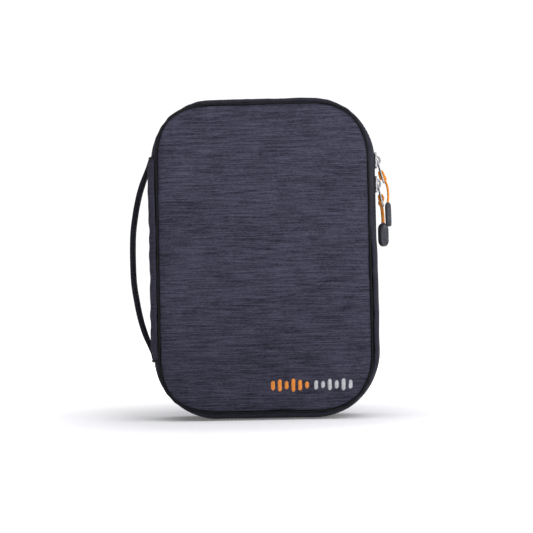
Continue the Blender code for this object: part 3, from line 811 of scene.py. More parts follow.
def build_gusset(half, material, thread_material):
    """The side wall: nylon folded at the zip, topstitched there, and drawn in a little by the seams."""
    side, body = HALVES[half]
    s = past_spine(2 * MM)
    insets, depths = wall_profile(0, WALL_CROWN, GUSSET_FOLD, GUSSET_EDGE)
    near_piping = np.clip((depths - 15 * MM) / (10 * MM), 0, 1)
    near_seam = np.exp(-((depths - TOPSTITCH_DEPTH) / (0.7 * MM)) ** 2)
    turned_in = np.clip((depths - GUSSET_FLAT) / GUSSET_DEPTH, 0, 1) ** 2
    pull = 0.22 * MM * (1 + ripple(s, 5.0 + side, (37, 59, 83)))[:, None] * near_piping
    slack = 0.12 * MM * (1 + ripple(s, 2.0 + side, (19, 29)))[:, None] * (1 - near_seam)
    insets = insets + TOPSTITCH_GROOVE * near_seam + np.clip(pull + slack, 0, None)
    insets = insets + side_sag(s)[:, None] * np.clip((depths - GUSSET_EDGE) / (5 * MM), 0, 1)
    insets = insets - corner_swell(outline(s)[1])[:, None] * turned_in
    wall = swept(f"{half}_gusset_wall", s, insets, depths, side, material)
    face_out(wall)
    solidify(wall, GUSSET_THICK)
    bake(wall)
    hand_over(wall, body, "trim_fabric", f"{half}_gusset")
    run = steps(SPINE_HALF + 2 * MM, AROUND - SPINE_HALF - 2 * MM, 2 * MM)
    seam = on_outline(run, TOPSTITCH_GROOVE, side * TOPSTITCH_DEPTH)
    row = stitches(f"{half}_gusset_stitches", seam, outwards(run), thread_material)
    hand_over(row, body, "trim_fabric")


def side_sag(s):
    """How far the right side is drawn in by the zip's ends, and how far it bellies out below them."""
    fall = s - KNOTS[4]
    drawn_in = np.exp(-((fall - SAG_IN_AT) / SAG_IN_REACH) ** 2)
    belly = np.exp(-((fall - SAG_OUT_AT) / SAG_OUT_REACH) ** 4)
    return SAG_IN * drawn_in - SAG_OUT * belly


def outwards(s):
    """The directions out of the outline at these distances, in space."""
    _, outward = outline(s)
    return np.stack([outward[:, 0], np.zeros(len(s)), outward[:, 1]], axis=-1)


def face_out(obj):
    """Turns the sheet so that it faces away from the middle of the case."""
    mesh = obj.data
    middle = Vector((CENTRE_X, 0, HEIGHT / 2))
    votes = sum((1 if face.normal.dot(face.center - middle) > 0 else -1) for face in mesh.polygons)
    if votes < 0:
        mesh.flip_normals()


def build_zip_tape(half, material, thread_material):
    """The woven tape that carries one row of teeth, sewn down beside them."""
    side, body = HALVES[half]
    s = past_spine(2.5 * MM)
    depths = np.linspace(*TAPE_DEPTHS, 6)
    sag = 0.1 * MM * ripple(s, 4.0, (61, 97))[:, None] * np.sin(np.linspace(0, np.pi, 6))
    tape = swept(f"{half}_tape", s, TAPE_INSET + np.abs(sag), depths, side, material)
    face_out(tape)
    solidify(tape, TAPE_THICK)
    bake(tape)
    hand_over(tape, body, "trim_fabric", f"{half}_zip_tape")
    seam = on_outline(s, TAPE_INSET - 0.05 * MM, side * TAPE_SEAM_DEPTH)
    row = stitches(f"{half}_tape_stitches", seam, outwards(s), thread_material, 2.2 * MM, 1.7 * MM, 0.16 * MM)
    hand_over(row, body, "trim_fabric")


def tooth_shape(side):
    """One loop of wire, (points, faces): X along the zip, Y across it and Z out of the case."""
    high, low = TOOTH_INSETS
    middle, half_high = (high + low) / 2, (low - high) / 2
    straight = (TOOTH_HEEL - TOOTH_HEAD) / 2 - half_high
    angle = TAU * np.arange(12) / 12
    end = np.sign(np.round(np.cos(angle), 6))
    loop_y = (TOOTH_HEEL + TOOTH_HEAD) / 2 - half_high * np.cos(angle) - end * straight
    loop_in = middle - half_high * np.sin(angle)
    lean = 0.36 * MM * np.sin(angle) * (loop_y > TOOTH_HEAD + half_high)
    path = np.stack([lean, side * loop_y, -loop_in], axis=-1)
    path = np.concatenate([path, path[:1]])
    _, across, over = frames_along(np.concatenate([path[-2:-1], path, path[1:2]]), (1, 0, 0.001))
    sides = 5
    turn = TAU * np.arange(sides) / sides
    rings = path[:-1, None] + TOOTH_WIRE * (np.cos(turn)[None, :, None] * across[1:-2, None]
                                            + np.sin(turn)[None, :, None] * over[1:-2, None])
    faces = ring_shape(len(path), sides) % (sides * (len(path) - 1))
    return rings.reshape(-1, 3), faces


def build_zip_coil(half, material):
    """The teeth of a nylon coil: each is a loop of wire whose head passes between two heads opposite."""
    side, body = HALVES[half]
    start = SPINE_HALF + 1 * MM + (TOOTH_PITCH / 2 if side > 0 else 0)
    at = np.arange(start, AROUND - SPINE_HALF - 1 * MM, TOOTH_PITCH)
    out = outwards(at)
    across = np.broadcast_to((0.0, 1.0, 0.0), out.shape)
    axes = np.stack([np.cross(out, across), across, out], axis=1)
    coil = copies(f"{half}_zip_teeth", tooth_shape(side), on_outline(at, 0, 0), axes, material)
    hand_over(coil, body, "zip_coil", f"{half}_zip_coil")


def build_spine(material, trim_material, thread_material):
    """The fabric hinge on the left side, one piece from piping to piping, with a bound edge at each end."""
    s = steps(-SPINE_HALF, SPINE_HALF, 2 * MM)
    insets, depths = wall_profile(SPINE_PROUD, SPINE_CROWN, 0, 0.6 * MM)
    insets = np.concatenate([insets[::-1], insets])
    depths = np.concatenate([-depths[::-1], depths])
    wobble = 0.28 * MM * ripple(s, 2.4, (5, 8, 13), 2 * SPINE_HALF)[:, None]
    bulge = 0.175 * MM * ripple(s, 6.1, (3, 7, 11), 2 * SPINE_HALF)[:, None] * (np.abs(depths) > 8 * MM)
    ends = 0.5 * MM * np.exp(-(SPINE_HALF - np.abs(s)) / (5 * MM))[:, None]
    swell = SPINE_BULGE * np.exp(-((s - SPINE_BULGE_AT) / SPINE_BULGE_REACH) ** 2)[:, None]
    insets = insets + wobble * np.clip(np.abs(depths) / (20 * MM), 0.2, 1) + bulge + ends
    insets = insets - swell * np.clip((depths / (15 * MM)) ** 2, 0, 1)
    sheet = swept("spine_cover", s, insets, depths, 1, material)
    face_out(sheet)
    solidify(sheet, SPINE_THICK)
    subdivide(sheet)
    bake(sheet)
    join_halves(sheet)
    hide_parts("back_spine", "front_spine")
    for name, end, row in (("upper", SPINE_HALF, -1), ("lower", -SPINE_HALF, 0)):
        rim = curve_through(on_outline(np.full(len(depths), end), insets[row] + 0.8 * MM, depths), 2)
        binding = tube(f"spine_{name}_binding", rim, SPINE_BINDING_RADIUS, trim_material, 10, up=(1, 0.02, 0))
        join_halves(binding)
    run = steps(-SPINE_HALF + 4 * MM, SPINE_HALF - 4 * MM, 2 * MM)
    for half, (side, body) in HALVES.items():
        seam = on_outline(run, -SPINE_PROUD + 0.32 * MM, side * SPINE_SEAM_DEPTH)
        row = stitches(f"{half}_spine_stitches", seam, outwards(run), thread_material)
        hand_over(row, body, "trim_fabric")


def join_halves(obj):
    """Bakes the object's place into its mesh."""
    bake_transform(obj)


# ---------------------------------------------------------------- the inside

def build_lining(half, material):
    """The tray: a soft wall swept round, and a floor that waves a little over the board."""
    side, body = HALVES[half]
    s = around(3 * MM)
    insets, depths = np.array(LINING_WALL).T * MM
    waves = 0.22 * MM * ripple(s, 1.0 + side, (13, 21, 34))[:, None]
    insets = insets + waves * np.sin(np.linspace(0, np.pi, len(depths)))
    wall = swept(f"{half}_lining_wall", s, insets, depths, side, material, whole=True)
    hand_over(wall, body, "lining_fabric", f"{half}_lining")
    inset = LINING_FLOOR_INSET
    x, z, edge = rounded_grid(WIDTH - 2 * inset, HEIGHT - 2 * inset, CORNER - inset, 4 * MM)
    soft = (ripple(x * 1.3 + z, 0.4 + side, (3, 5, 8), 0.3) + ripple(x - 0.8 * z, 1.9, (4, 7), 0.3)) / 2
    rise = 0.3 * MM * soft * np.clip(edge / (20 * MM), 0, 1)
    points = np.stack([CENTRE_X + x, side * (LINING_FLOOR - 0.2 * MM + rise), HEIGHT / 2 + z], axis=-1)
    floor = grid(f"{half}_lining_floor", points, z[:, 0], x[0], material)
    hand_over(floor, body, "lining_fabric")


def build_binding(half, material, thread_material):
    """The tape that binds the seam between the wall and the floor of the tray."""
    side, body = HALVES[half]
    s = around(2.5 * MM)
    outer, inner = np.array(BINDING_OUTER), np.array(BINDING_INNER)
    t = np.linspace(0, 1, 7)
    puckers = 0.12 * MM * ripple(s, 0.9 + side, (71, 113, 151))[:, None] * np.sin(np.pi * t)
    lift = 0.5 * MM * np.sin(np.pi * t) ** 0.5 + puckers
    insets = outer[0] + (inner - outer)[0] * t + 0.6 * lift
    depths = outer[1] + (inner - outer)[1] * t - 0.8 * lift
    tape = swept(f"{half}_seam_binding", s, insets, depths, side, material, whole=True)
    face_out(tape)
    solidify(tape, BINDING_THICK, offset=0)
    bake(tape)
    hand_over(tape, body, "trim_fabric", f"{half}_binding")
    closed = np.append(s, 0)
    inward = -0.6 * outwards(closed) - np.array((0, side * 0.8, 0))
    for row_name, at in (("outer", 0.2), ("inner", 0.82)):
        inset, depth = outer + (inner - outer) * at + 0.7 * MM * np.array((0.6, -0.8))
        path = on_outline(closed, inset, side * depth)
        row = stitches(f"{half}_binding_{row_name}_stitches", path, inward, thread_material)
        hand_over(row, body, "trim_fabric")


def build_pocket(net_material, trim_material, thread_material):
    """The mesh pocket in the lid: a slack net, with its hem along the top and tape along its sewn edge."""
    width = WIDTH - 2 * POCKET_INSET
    height = POCKET_TOP - POCKET_INSET
    x, z, edge = rounded_grid(width, height, CORNER - POCKET_INSET, POCKET_STEP, lower_only=True)
    up = (z + height / 2) / height
    ripples = ripple(x, 0.3, (9, 14), width) * 0.5 * MM * up ** 3
    slack = 0.5 * MM * np.sin(np.pi * np.clip(edge / (width / 2), 0, 1))
    y = -POCKET_DEPTH + slack + ripples
    points = np.stack([CENTRE_X + x, y, POCKET_INSET + height / 2 + z], axis=-1)
    pocket = grid("pocket_net", points, z[:, 0], x[0], net_material)
    hand_over(pocket, "lid", "mesh_fabric", "mesh_pocket")
    hem = build_pocket_hem(width, trim_material, thread_material)
    edging = build_pocket_edging(trim_material, thread_material)


def build_pocket_hem(width, material, thread_material):
    """The hem of the net, gathered by the elastic in it, with two rows of stitches."""
    t = np.arange(16) / 16 * TAU
    run = steps(-width / 2, width / 2, 1.6 * MM)
    gather = ripple(run, 1.2, (31, 47, 67), width)[:, None]
    tall = HEM_HEIGHT / 2 * np.sign(np.cos(t)) * np.abs(np.cos(t)) ** 0.6
    deep = HEM_THICK / 2 * np.sin(t) * (1 + 0.3 * np.cos(4 * t))
    hem_y = -POCKET_DEPTH - 0.1 * MM + deep + 0.22 * MM * gather * np.cos(2 * t)
    hem_z = POCKET_TOP + 0.3 * MM + HEM_HEIGHT / 2 + tall * (1 + 0.03 * gather)
    hem_x = np.broadcast_to(CENTRE_X + run[:, None], hem_y.shape)
    points = np.stack([hem_x, hem_y, hem_z], axis=-1)
    hem = grid("pocket_hem", points, run, np.append(t, TAU) * 3 * MM, material, wrap=(False, True))
    close_holes(hem)
    hand_over(hem, "lid", "trim_fabric", "mesh_pocket_hem")
    for name, level in (("low", 1.8 * MM), ("high", 6.4 * MM)):
        y, z = -POCKET_DEPTH + 0.95 * MM, POCKET_TOP + level
        path = np.stack([CENTRE_X + run, np.full(len(run), y), np.full(len(run), z)], axis=-1)
        out = np.broadcast_to((0.0, 1.0, 0.0), path.shape)
        hand_over(stitches(f"pocket_hem_{name}_stitches", path, out, thread_material), "lid", "trim_fabric")
    return hem


def build_pocket_edging(material, thread_material):
    """The tape folded over the sides and the bottom of the net."""
    right_top = KNOTS[4] + (HEIGHT - CORNER - POCKET_TOP)
    left_top = KNOTS[9] + (POCKET_TOP - HEIGHT / 2)
    s = steps(right_top, left_top, 2.5 * MM)
    angle = TAU * np.arange(12) / 12
    insets = POCKET_INSET + 0.6 * MM + 2.6 * MM * np.sign(np.cos(angle)) * np.abs(np.cos(angle)) ** 0.5
    depths = POCKET_DEPTH + 0.65 * MM * np.sin(angle)
    edging = swept("pocket_edging", s, insets, depths, -1, material, tube=True)
    close_holes(edging)
    hand_over(edging, "lid", "trim_fabric")
    path = on_outline(s, POCKET_INSET + 1.6 * MM, -(POCKET_DEPTH - 0.62 * MM))
    out = np.broadcast_to((0.0, 1.0, 0.0), path.shape)
    hand_over(stitches("pocket_edging_stitches", path, out, thread_material), "lid", "trim_fabric")
    return edging


# ---------------------------------------------------------------- the embroidered mark

def build_mark(colour, material, panel):
    """Satin-stitched bars: threads laid side by side across each bar, over a little padding, on the panel."""
    points, faces = thread_shape(1.0, 1.0)
    half_high, half_deep = MARK_THREAD_HALF
    threads = []
    for middle, tall in MARK_BARS[colour]:
        x = CENTRE_X + middle * MM
        for row in np.arange(0.2 * MM, tall * MM, MARK_ROW):
            edge = min(row, tall * MM - row)
            wide = MARK_BAR_WIDTH * math.sqrt(np.clip(edge / (1.1 * MM), 0.25, 1))
            z = MARK_Z + row - tall * MM / 2
            _, cloth, _, _ = panel.ray_cast((x, -1, z), (0, 1, 0))
            along, across, over = (points * (wide, half_high, half_deep)).T
            threads.append(np.stack([x + along, cloth.y - over, z + across + 0.12 * along], axis=-1))
    every = np.concatenate([faces + k * len(points) for k in range(len(threads))])
    mark = put_mesh(f"mark_{colour}_threads", np.concatenate(threads), every, material)
    hand_over(mark, "lid", f"{colour}_thread", f"mark_{colour}")


# ---------------------------------------------------------------- the handle

def handle_route(which):
    """The middle of half the band, from its sewn end to the handle's middle: X, and the rise from the middle.
    The curve is made to run on a little past the middle, so that both halves meet at the same slope."""
    points = [(CENTRE_X - WIDTH / 2 - out * MM, rise * MM) for rise, out in HANDLE_ROUTES[which]]
    mirror = [(x, -rise) for x, rise in points[-2:-4:-1]]
    per_span = 6
    route = curve_through(points + mirror, per_span)
    return route[:per_span * (len(points) - 1) + 1]


def build_handle(material, thread_material):
    """The carrying handle: nylon folded round a soft core."""
    t = TAU * np.arange(28) / 28
    wide = HANDLE_WIDTH / 2 * np.sign(np.cos(t)) * np.abs(np.cos(t)) ** 0.45
    groove = 1 - 0.16 * np.exp(-((np.abs(wide) - HANDLE_SEAM) / (0.6 * MM)) ** 2)
    deep = np.sign(np.sin(t)) * np.abs(np.sin(t)) ** 0.7 / 2 * groove
    layers = 0.3 * MM * np.exp(-(np.sin(t) / 0.2) ** 2) * np.sign(np.cos(t))
    stands_for = {"upper": ["handle_root_upper"], "lower": ["handle_root_lower", "handle_band"]}
    for which, up in (("upper", 1), ("lower", -1)):
        route = handle_route(which)
        rise = route[:, 1]
        slope = np.gradient(route, axis=0)
        outward = np.stack([slope[:, 1], np.zeros(len(route)), -up * slope[:, 0]], axis=-1)
        outward /= np.linalg.norm(outward, axis=1, keepdims=True)
        thick = np.interp(rise, (60 * MM, 76 * MM), (HANDLE_THICK, HANDLE_ROOT_THICK))[:, None]
        sway = 0.12 * MM * ripple(rise, 1.0 + up, (3, 5, 8), 0.09) * np.clip(rise / (8 * MM), 0, 1)
        middle = np.stack([route[:, 0], HANDLE_Y + sway, HANDLE_MIDDLE_Z + up * rise], axis=-1)
        points = middle[:, None] + outward[:, None] * (thick * deep)[..., None]
        points[..., 1] += wide - layers
        around_it = np.append(t, TAU) * 4 * MM
        band = grid(f"handle_{which}_half", points, lengths(route), around_it, material, wrap=(False, True))
        close_root(band)
        swing(band)
        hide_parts(*stands_for[which])
        for place, across in (("front", -HANDLE_SEAM), ("rear", HANDLE_SEAM)):
            for face, sign in (("outer", 1), ("inner", -1)):
                name = f"handle_{which}_{place}_{face}_stitches"
                seam = middle + (0, across, 0) + sign * 0.4 * thick * outward
                row = stitches(name, seam, sign * outward, thread_material)
                swing(row)


def close_root(obj):
    """Fills the end of the band that is sewn to the case, and leaves open the end where the halves meet."""
    bm = bmesh.new()
    bm.from_mesh(obj.data)
    rims = [e for e in bm.edges if e.is_boundary]
    far = max(abs(v.co.z - HANDLE_MIDDLE_Z) for e in rims for v in e.verts)
    ends = [e for e in rims if all(abs(v.co.z - HANDLE_MIDDLE_Z) > far - 5 * MM for v in e.verts)]
    bmesh.ops.holes_fill(bm, edges=ends, sides=0)
    bmesh.ops.recalc_face_normals(bm, faces=bm.faces[:])
    bm.to_mesh(obj.data)
    bm.free()


def swing(obj):
    """Bakes the object's place into its mesh."""
    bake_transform(obj)


# ---------------------------------------------------------------- the sliders and their pulls

def flat_plate(name, outlines, thick, bevel, material):
    """A plate in its own XY plane, from closed outlines of (x, y, smooth) points, where the later ones are
    holes."""
    data = bpy.data.curves.new(name, "CURVE")
    data.dimensions = "2D"
    data.fill_mode = "BOTH"
    data.extrude = thick / 2 - bevel
    data.bevel_depth = bevel
    data.bevel_resolution = 2
    data.resolution_u = 8
    for outline_points in outlines:
        spline = data.splines.new("BEZIER")
        spline.bezier_points.add(len(outline_points) - 1)
        for place, (x, y, is_smooth) in zip(spline.bezier_points, outline_points):
            place.co = (x, y, 0)
            place.handle_left_type = "AUTO" if is_smooth else "VECTOR"
            place.handle_right_type = place.handle_left_type
        spline.use_cyclic_u = True
    maker = bpy.data.objects.new(name, data)
    bpy.context.scene.collection.objects.link(maker)
    graph = bpy.context.evaluated_depsgraph_get()
    mesh = bpy.data.meshes.new_from_object(maker.evaluated_get(graph))
    bpy.data.objects.remove(maker)
    mesh.materials.clear()
    return put_metal(name, mesh, material)


def put_metal(name, mesh, material):
    """An object of this mesh, smooth but for its sharp edges."""
    mesh.materials.append(material)
    mesh.shade_smooth()
    mesh.set_sharp_from_angle(angle=math.radians(50))
    obj = bpy.data.objects.new(name, mesh)
    bpy.context.scene.collection.objects.link(obj)
    return obj


def join(name, objects):
    """Makes one mesh object of several, in place."""
    bpy.context.view_layer.update()
    verts, faces = [], []
    for obj in objects:
        start = len(verts)
        verts += [obj.matrix_world @ v.co for v in obj.data.vertices]
        faces += [[start + i for i in face.vertices] for face in obj.data.polygons]
    mesh = bpy.data.meshes.new(name)
    mesh.from_pydata(verts, [], faces)
    material = objects[0].data.materials[0]
    for obj in objects:
        bpy.data.objects.remove(obj)
    return put_metal(name, mesh, material)


def slider_outline(nose, wide, long):
    """A shield: broad shoulders where the two rows of teeth part, and a narrower tail. wide and long are
    shares of the whole slider's width and length."""
    right = ((0, 1.0), (0.62, 0.94), (0.97, 0.6), (0.98, 0.2), (0.74, -0.35), (0.7, -0.85), (0.5, -1.0))
    points = right + tuple((-x, y) for x, y in right[:0:-1])
    half_wide, half_long = wide * SLIDER_WIDTH / 2, nose * long * SLIDER_LENGTH / 2
    return [(x * half_wide, y * half_long, True) for x, y in points]


def build_slider(which, material):
    """Two plates and a low dome on a post, with a strap over the outer plate."""
    nose = NOSE_TOWARDS[which]
    middle_z = SLIDER_Z[which]
    stand = Matrix(((0, 0, 1), (1, 0, 0), (0, 1, 0))).to_4x4()
    parts = []
    for name, out, thick, bevel, wide, long in SLIDER_PLATES:
        plate = flat_plate(name, [slider_outline(nose, wide, long)], thick, bevel, material)
        plate.matrix_world = Matrix.Translation((WALL_X + out, 0, middle_z)) @ stand
        parts.append(plate)
    post = np.array([(WALL_X + out, 0, middle_z + nose * 1.2 * MM) for out in (-3.2 * MM, 0.6 * MM)])
    parts.append(tube("post", post, 1.1 * MM, material, sides=10, flat=0.5))
    angle = np.radians(np.linspace(-100, 100, 19))
    flatten = np.cos(np.clip(angle, -np.pi / 2, np.pi / 2)) ** 0.7
    tucked = 0.5 * MM * (np.abs(angle) > 1.6)
    strap = np.stack([WALL_X + 1.3 * MM + 0.68 * BRIDGE_REACH * flatten - tucked,
                      np.zeros(len(angle)), middle_z + BRIDGE_HALF * np.sin(angle)], axis=-1)
    parts.append(tube("strap", strap, 0.8 * MM, material, sides=12, flat=1.45))
    slider = join(f"{which}_slider_piece", parts)
    hand_over(slider, f"{which}_slider_body", "nickel", f"{which}_slider")


def tab_axes(which):
    """The middle of a tab's crossbar, and the directions down the tab and out of it."""
    tilt = TAB_TILTS[which]
    crossbar = np.array((WALL_X + TAB_AXIS_OUT, 0, SLIDER_Z[which] - TAB_AXIS_DOWN))
    down = np.array((math.sin(tilt), 0, -math.cos(tilt)))
    out = np.array((math.cos(tilt), 0, math.sin(tilt)))
    return crossbar, down, out


def tab_place(which):
    """The matrix of a tab's own axes, X across, Y up the tab and Z out, whose origin is on its crossbar."""
    crossbar, down, out = tab_axes(which)
    axes = Matrix(((0, -down[0], out[0]), (1, -down[1], out[1]), (0, -down[2], out[2]))).to_4x4()
    return Matrix.Translation(crossbar) @ axes


def round_slot(middle, wide, tall, corner):
    """A rectangle with round corners, centred at Y = middle, as points for a Bezier outline."""
    x, y = wide / 2, tall / 2
    near_x, near_y = x - corner, y - corner
    corners = (((near_x, y), (x, near_y)), ((x, -near_y), (near_x, -y)),
               ((-near_x, -y), (-x, -near_y)), ((-x, near_y), (-near_x, y)))
    cut = 0.29 * corner
    found = []
    for (a, b), (c, d) in corners:
        halfway = (math.copysign(x - cut, a + c), middle + math.copysign(y - cut, b + d), True)
        found += [(a, middle + b, False), halfway, (c, middle + d, False)]
    return found


def build_tab(which, material):
    """A flat plate with a window for the strap and a slot for the cord."""
    top = CROSSBAR / 2
    body = round_slot(top - TAB_LENGTH / 2, TAB_WIDTH, TAB_LENGTH, 1.6 * MM)
    window = round_slot(-top - 2.4 * MM, 2.7 * MM, 4.8 * MM, 0.7 * MM)
    slot = round_slot(-SLOT_AT, 3 * MM, SLOT_TALL, 0.9 * MM)
    plate = flat_plate("tab", [body, window, slot], TAB_THICK, 0.2 * MM, material)
    plate.matrix_world = tab_place(which)
    tab = join(f"{which}_tab_piece", [plate])
    hand_over(tab, f"{which}_tab_body", "nickel", f"{which}_tab")


def grip_top(which):
    """The top of a grip, where its cord goes in, and the direction across the grip."""
    x, y, z = GRIPS[which]["middle"]
    lean, turn = math.radians(GRIPS[which]["lean"]), math.radians(GRIPS[which]["turn"])
    rise = GRIP_LENGTH / 2 + 0.1 * MM
    top = np.array((CENTRE_X + x * MM - rise * math.sin(lean), y * MM, z * MM + rise * math.cos(lean)))
    return top, np.array((math.cos(turn), math.sin(turn), 0))


def build_cord(which, material):
    """The orange cord: hitched through the tab's slot and down both faces of it, tied in a knot at the end of
    the tab, and on to the grip in two strands."""
    crossbar, down, out = tab_axes(which)
    top, across = grip_top(which)
    knot = crossbar + KNOT_ALONG * down + KNOT_OUT[which] * out
    build_hitch(which, material, knot)
    run = top - knot
    bow = CORD_BOW[which] * np.cross(run, (0, 1, 0))
    for strand, sign in (("near", -1), ("far", 1)):
        aside = sign * STRAND_SIDE * across
        points = [
            knot + sign * 0.55 * MM * (across + (0, 0.3, 0)),
            knot + 0.33 * run - bow + 0.9 * aside,
            knot + 0.7 * run - 0.8 * bow + 0.9 * aside,
            top + 0.85 * aside,
        ]
        path = curve_through(points, 8)
        cord = tube(f"{which}_cord_{strand}_strand", path, CORD_RADIUS, material, 10, up=(0.05, 1, 0.02))
        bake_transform(cord)
        if strand == "near":
            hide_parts(f"{which}_cord")
    build_knot(which, material, knot, run / np.linalg.norm(run))


def build_hitch(which, material, knot):
    """The cord's way from the knot up the outer face of the tab, through its slot and down the inner face."""
    crossbar, down, out = tab_axes(which)
    face = TAB_THICK / 2 + CORD_RADIUS + 0.05 * MM
    slot_top = SLOT_AT - 0.2 * MM
    # How far down the tab from its crossbar, and how far out from its middle
    route = (
        (KNOT_ALONG - 3 * MM, face + 0.15 * MM),
        (slot_top + 0.6 * MM, face),
        (slot_top - 0.55 * MM, 0.62 * face),
        (slot_top - 0.75 * MM, 0),
        (slot_top - 0.55 * MM, -0.62 * face),
        (slot_top + 0.6 * MM, -face),
        (KNOT_ALONG - 3 * MM, -face - 0.15 * MM),
        (KNOT_ALONG + 0.2 * MM, -face),
    )
    points = [knot + 0.9 * MM * out] + [crossbar + along * down + off * out for along, off in route]
    hitch = tube(f"{which}_cord_hitch", curve_through(points, 6), CORD_RADIUS, material, sides=10)
    hand_over(hitch, f"{which}_tab_body", "orange_cord")


def build_knot(which, material, middle, run):
    """An overhand knot: the cord wound round the strands, with the stub of its end standing off."""
    side = np.cross(run, (0, 1, 0))
    side /= np.linalg.norm(side)
    over = np.cross(run, side)
    t = np.linspace(-1, 1, 46)
    turn = KNOT_TURNS * TAU * (t + 1) / 2
    radius = (KNOT_RADIUS - 0.35 * MM * np.abs(t) ** 3)[:, None]
    wind = radius * (np.cos(turn)[:, None] * side + np.sin(turn)[:, None] * over)
    coil = middle + run * (KNOT_HALF * t)[:, None] + wind
    stub = coil[-1] + np.array([(0.8, -0.1, 0.4), (1.6, -0.3, 1.0), (2.2, -0.4, 1.5)]) * MM
    knot = tube(f"{which}_cord_knot", np.concatenate([coil, stub]), 0.7 * MM, material, sides=8, up=run)
    hand_over(knot, f"{which}_tab_body", "orange_cord")


def grip_shell(material):
    """The grip's rounded body, with a shallow dish in each face, as rings from one dish to the other."""
    count = 56
    angle = TAU * np.arange(count) / count
    ends = (GRIP_LENGTH - GRIP_WIDTH) / 2 * np.sign(np.round(np.sin(angle), 6))
    half = GRIP_THICK / 2 / MM
    # Inset from the grip's outline and distance from its middle, in millimetres
    profile = ((0.0, 0.0), (0.04, 0.9), (0.14, 1.45), (0.4, 1.85), (0.8, half - 0.02), (1.3, half),
               (1.8, half - 0.03), (2.1, half - 0.3), (2.6, half - 0.45))
    rings = [(inset, -depth) for inset, depth in profile[:0:-1]] + list(profile)
    points = []
    for inset, depth in rings:
        radius = GRIP_WIDTH / 2 - inset * MM
        points.append(np.stack([radius * np.cos(angle), np.full(count, depth * MM),
                                radius * np.sin(angle) + ends], axis=-1))
    grip = grid("grip", np.array(points), np.arange(len(rings)) * MM, np.arange(count + 1) * MM, material,
                wrap=(False, True))
    close_holes(grip)
    return grip


def build_grip(which, material):
    """A moulded grip: round rim, a dish with ribs on each face, and a collar where the cord goes in."""
    parts = [grip_shell(material)]
    reach = np.linspace(-GRIP_RIB_HALF, GRIP_RIB_HALF, 7)
    for face in (-1, 1):
        for level in GRIP_RIBS:
            y = face * (GRIP_THICK / 2 - 0.42 * MM)
            rib = np.stack([reach, np.full(len(reach), y), np.full(len(reach), level)], axis=-1)
            parts.append(tube("rib", rib, 0.34 * MM, material, sides=6))
    collar = np.array([(0, 0, GRIP_LENGTH / 2 + rise * MM) for rise in (-1.2, -0.2, 0.35, 0.6)])
    parts.append(tube("collar", collar, np.array((2.3, 2.05, 1.8, 1.3)) * MM, material, sides=14, flat=0.72))
    x, y, z = GRIPS[which]["middle"]
    turn = Matrix.Rotation(math.radians(GRIPS[which]["turn"]), 4, "Z")
    lean = Matrix.Rotation(math.radians(-GRIPS[which]["lean"]), 4, "Y")
    for part in parts:
        part.matrix_world = Matrix.Translation((CENTRE_X + x * MM, y * MM, z * MM)) @ lean @ turn
    grip = join(f"{which}_grip_piece", parts)
    hand_over(grip, f"{which}_pull", "grip_plastic", f"{which}_grip")


# ---------------------------------------------------------------- floor, light and camera

def floor_material():
    """White paper, which glows a little towards its edges so that it fades into the white behind it."""
    material, tree, shader = new_material("floor", Roughness=0.9, Specular_IOR_Level=0.1)
    grain = noise(tree, place_of(tree, False, (40, 40, 40)), 3.0)
    tree.links.new(mixed(tree, grain, PAPER, times(PAPER, 1.02)), shader.inputs["Base Color"])
    far = node(tree, "VectorMath", {0: place_of(tree, False, (1, 1, 0))}, operation="LENGTH").outputs["Value"]
    shader.inputs["Emission Color"].default_value = (1, 1, 1, 1)
    tree.links.new(spread(tree, far, *FLOOR_FADE, *FLOOR_GLOW), shader.inputs["Emission Strength"])
    return material


def build_floor():
    """A plain sheet of paper that reaches out of sight."""
    ends = (-FLOOR_REACH, FLOOR_REACH)
    points = np.array([[(x, y, 0) for x in ends] for y in ends], float)
    grid("floor", points, (0, 1), (0, 1), floor_material())


def build_world():
    """Plain white where the camera looks at it. It lights the case from above and from the right more than
    from below and from the left, which gives the metal something dark to reflect."""
    world = bpy.data.worlds.new("studio")
    world.use_nodes = True
    tree = world.node_tree
    direction = node(tree, "SeparateXYZ", {0: node(tree, "TexCoord").outputs["Generated"]}).outputs
    height = spread(tree, direction[2], -0.1, 0.8, 0.02, 1.0)
    side = spread(tree, direction[0], -0.9, 0.9, 0.5, 1.0)
    glow = maths(tree, "MULTIPLY", maths(tree, "MULTIPLY", height, side), WORLD_LIGHT)
    lit = tree.nodes["Background"]
    lit.inputs["Color"].default_value = (0.96, 0.97, 1, 1)
    tree.links.new(glow, lit.inputs["Strength"])
    seen = node(tree, "Background", {"Color": (1, 1, 1, 1), "Strength": WORLD_SEEN})
    ray = node(tree, "LightPath").outputs["Is Camera Ray"]
    both = node(tree, "MixShader", {0: ray, 1: lit.outputs[0], 2: seen.outputs[0]})
    tree.links.new(both.outputs[0], tree.nodes["World Output"].inputs["Surface"])
    bpy.context.scene.world = world


def area_light(name, at, size, power):
    """A square soft box that faces the case."""
    data = bpy.data.lights.new(name, "AREA")
    data.shape = "SQUARE"
    data.size = size
    data.energy = power
    light = bpy.data.objects.new(name, data)
    light.location = at
    light.rotation_euler = (Vector((0, 0, HEIGHT / 2)) - Vector(at)).to_track_quat("-Z", "Y").to_euler()
    bpy.context.scene.collection.objects.link(light)


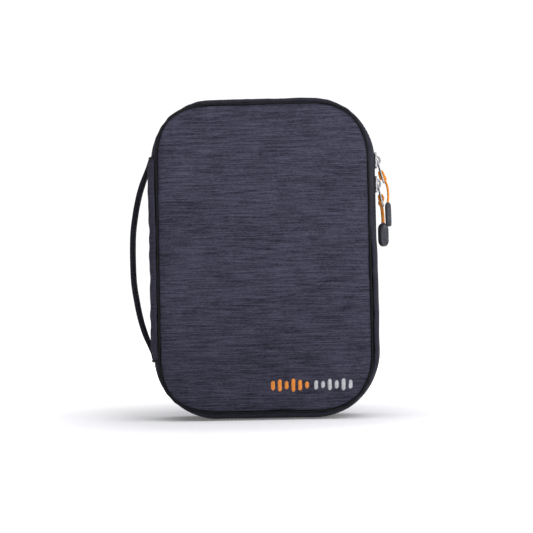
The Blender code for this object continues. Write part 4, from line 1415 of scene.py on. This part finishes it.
def build_camera():
    """Looks at the case from a little to its right, and is turned a little, so that the case leans."""
    data = bpy.data.cameras.new("camera")
    data.lens = LENS
    data.sensor_width = 36
    camera = bpy.data.objects.new("camera", data)
    bpy.context.scene.collection.objects.link(camera)
    aim = (Vector(CAMERA_AIM) - Vector(CAMERA_AT)).to_track_quat("-Z", "Y")
    camera.rotation_euler = (aim.to_matrix() @ Matrix.Rotation(CAMERA_ROLL, 3, "Z")).to_euler()
    camera.location = CAMERA_AT
    bpy.context.scene.camera = camera
    bpy.context.scene.view_settings.view_transform = "Standard"


# ---------------------------------------------------------------- the whole case

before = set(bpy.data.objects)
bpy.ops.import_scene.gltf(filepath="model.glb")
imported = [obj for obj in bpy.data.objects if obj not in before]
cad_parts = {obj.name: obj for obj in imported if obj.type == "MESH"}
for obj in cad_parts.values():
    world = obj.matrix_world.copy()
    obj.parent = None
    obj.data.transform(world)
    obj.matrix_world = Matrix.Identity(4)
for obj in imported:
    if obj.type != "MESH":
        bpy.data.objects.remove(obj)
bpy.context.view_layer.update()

panel_cloth = melange("melange", False, MELANGE_DARK, MELANGE_LIGHT)
# The spine's cloth is the panels' melange, darkened as painted shade.
shaded_spine_cloth = melange("melange_spine_painted_shade", True, times(MELANGE_DARK, 0.9), times(MELANGE_LIGHT, 0.75))
side_cloth = ribbed_cloth("side_nylon", TRIM, 0.7 * MM, 0.0)
piping_cloth = ribbed_cloth("piping_twill", BLACK, 0.9 * MM, 0.9, 0.6)
tape_cloth = ribbed_cloth("zip_tape", times(BLACK, 1.5), 0.8 * MM, 1.0)
handle_cloth = ribbed_cloth("handle_nylon", times(TRIM, 0.8), 0.8 * MM, 0.0)
binding_cloth = ribbed_cloth("binding_tape", times(TRIM, 0.7), 1.0 * MM, 0.0)
pile = lining_cloth("lining", LINING_GREY)
netting = net("pocket_mesh", times(TRIM, 0.7), NET_PITCH)
coil_nylon = nylon("coil_nylon", times(BLACK, 2.0))
plate = nickel_plate("nickel")
cord_braid = braided_cord("orange_braid", ORANGE)
grip_rubber = soft_plastic("grip_rubber", GRIP_GREY)
dark_thread = thread("dark_thread", times(TRIM, 1.7))
marks = {"orange": thread("orange_thread", ORANGE), "grey": thread("grey_thread", PALE_GREY)}

panels = {}
for half_name in HALVES:
    panels[half_name] = build_panel(half_name, panel_cloth)
    build_piping(half_name, piping_cloth)
    build_gusset(half_name, side_cloth, dark_thread)
    build_zip_tape(half_name, tape_cloth, dark_thread)
    build_zip_coil(half_name, coil_nylon)
    build_lining(half_name, pile)
    build_binding(half_name, binding_cloth, dark_thread)
    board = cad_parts[f"{half_name}_board"].data
    board.materials.clear()
    board.materials.append(foam(f"{half_name}_foam", PALE_GREY))
build_spine(shaded_spine_cloth, piping_cloth, dark_thread)
build_pocket(netting, binding_cloth, dark_thread)
for colour_name, colour_thread in marks.items():
    build_mark(colour_name, colour_thread, panels["front"])
build_handle(handle_cloth, dark_thread)
for pull_name in ("upper", "lower"):
    build_slider(pull_name, plate)
    build_tab(pull_name, plate)
    build_cord(pull_name, cord_braid)
    build_grip(pull_name, grip_rubber)

build_floor()
build_world()
for light_name, light_values in LIGHTS.items():
    area_light(light_name, *light_values)
build_camera()
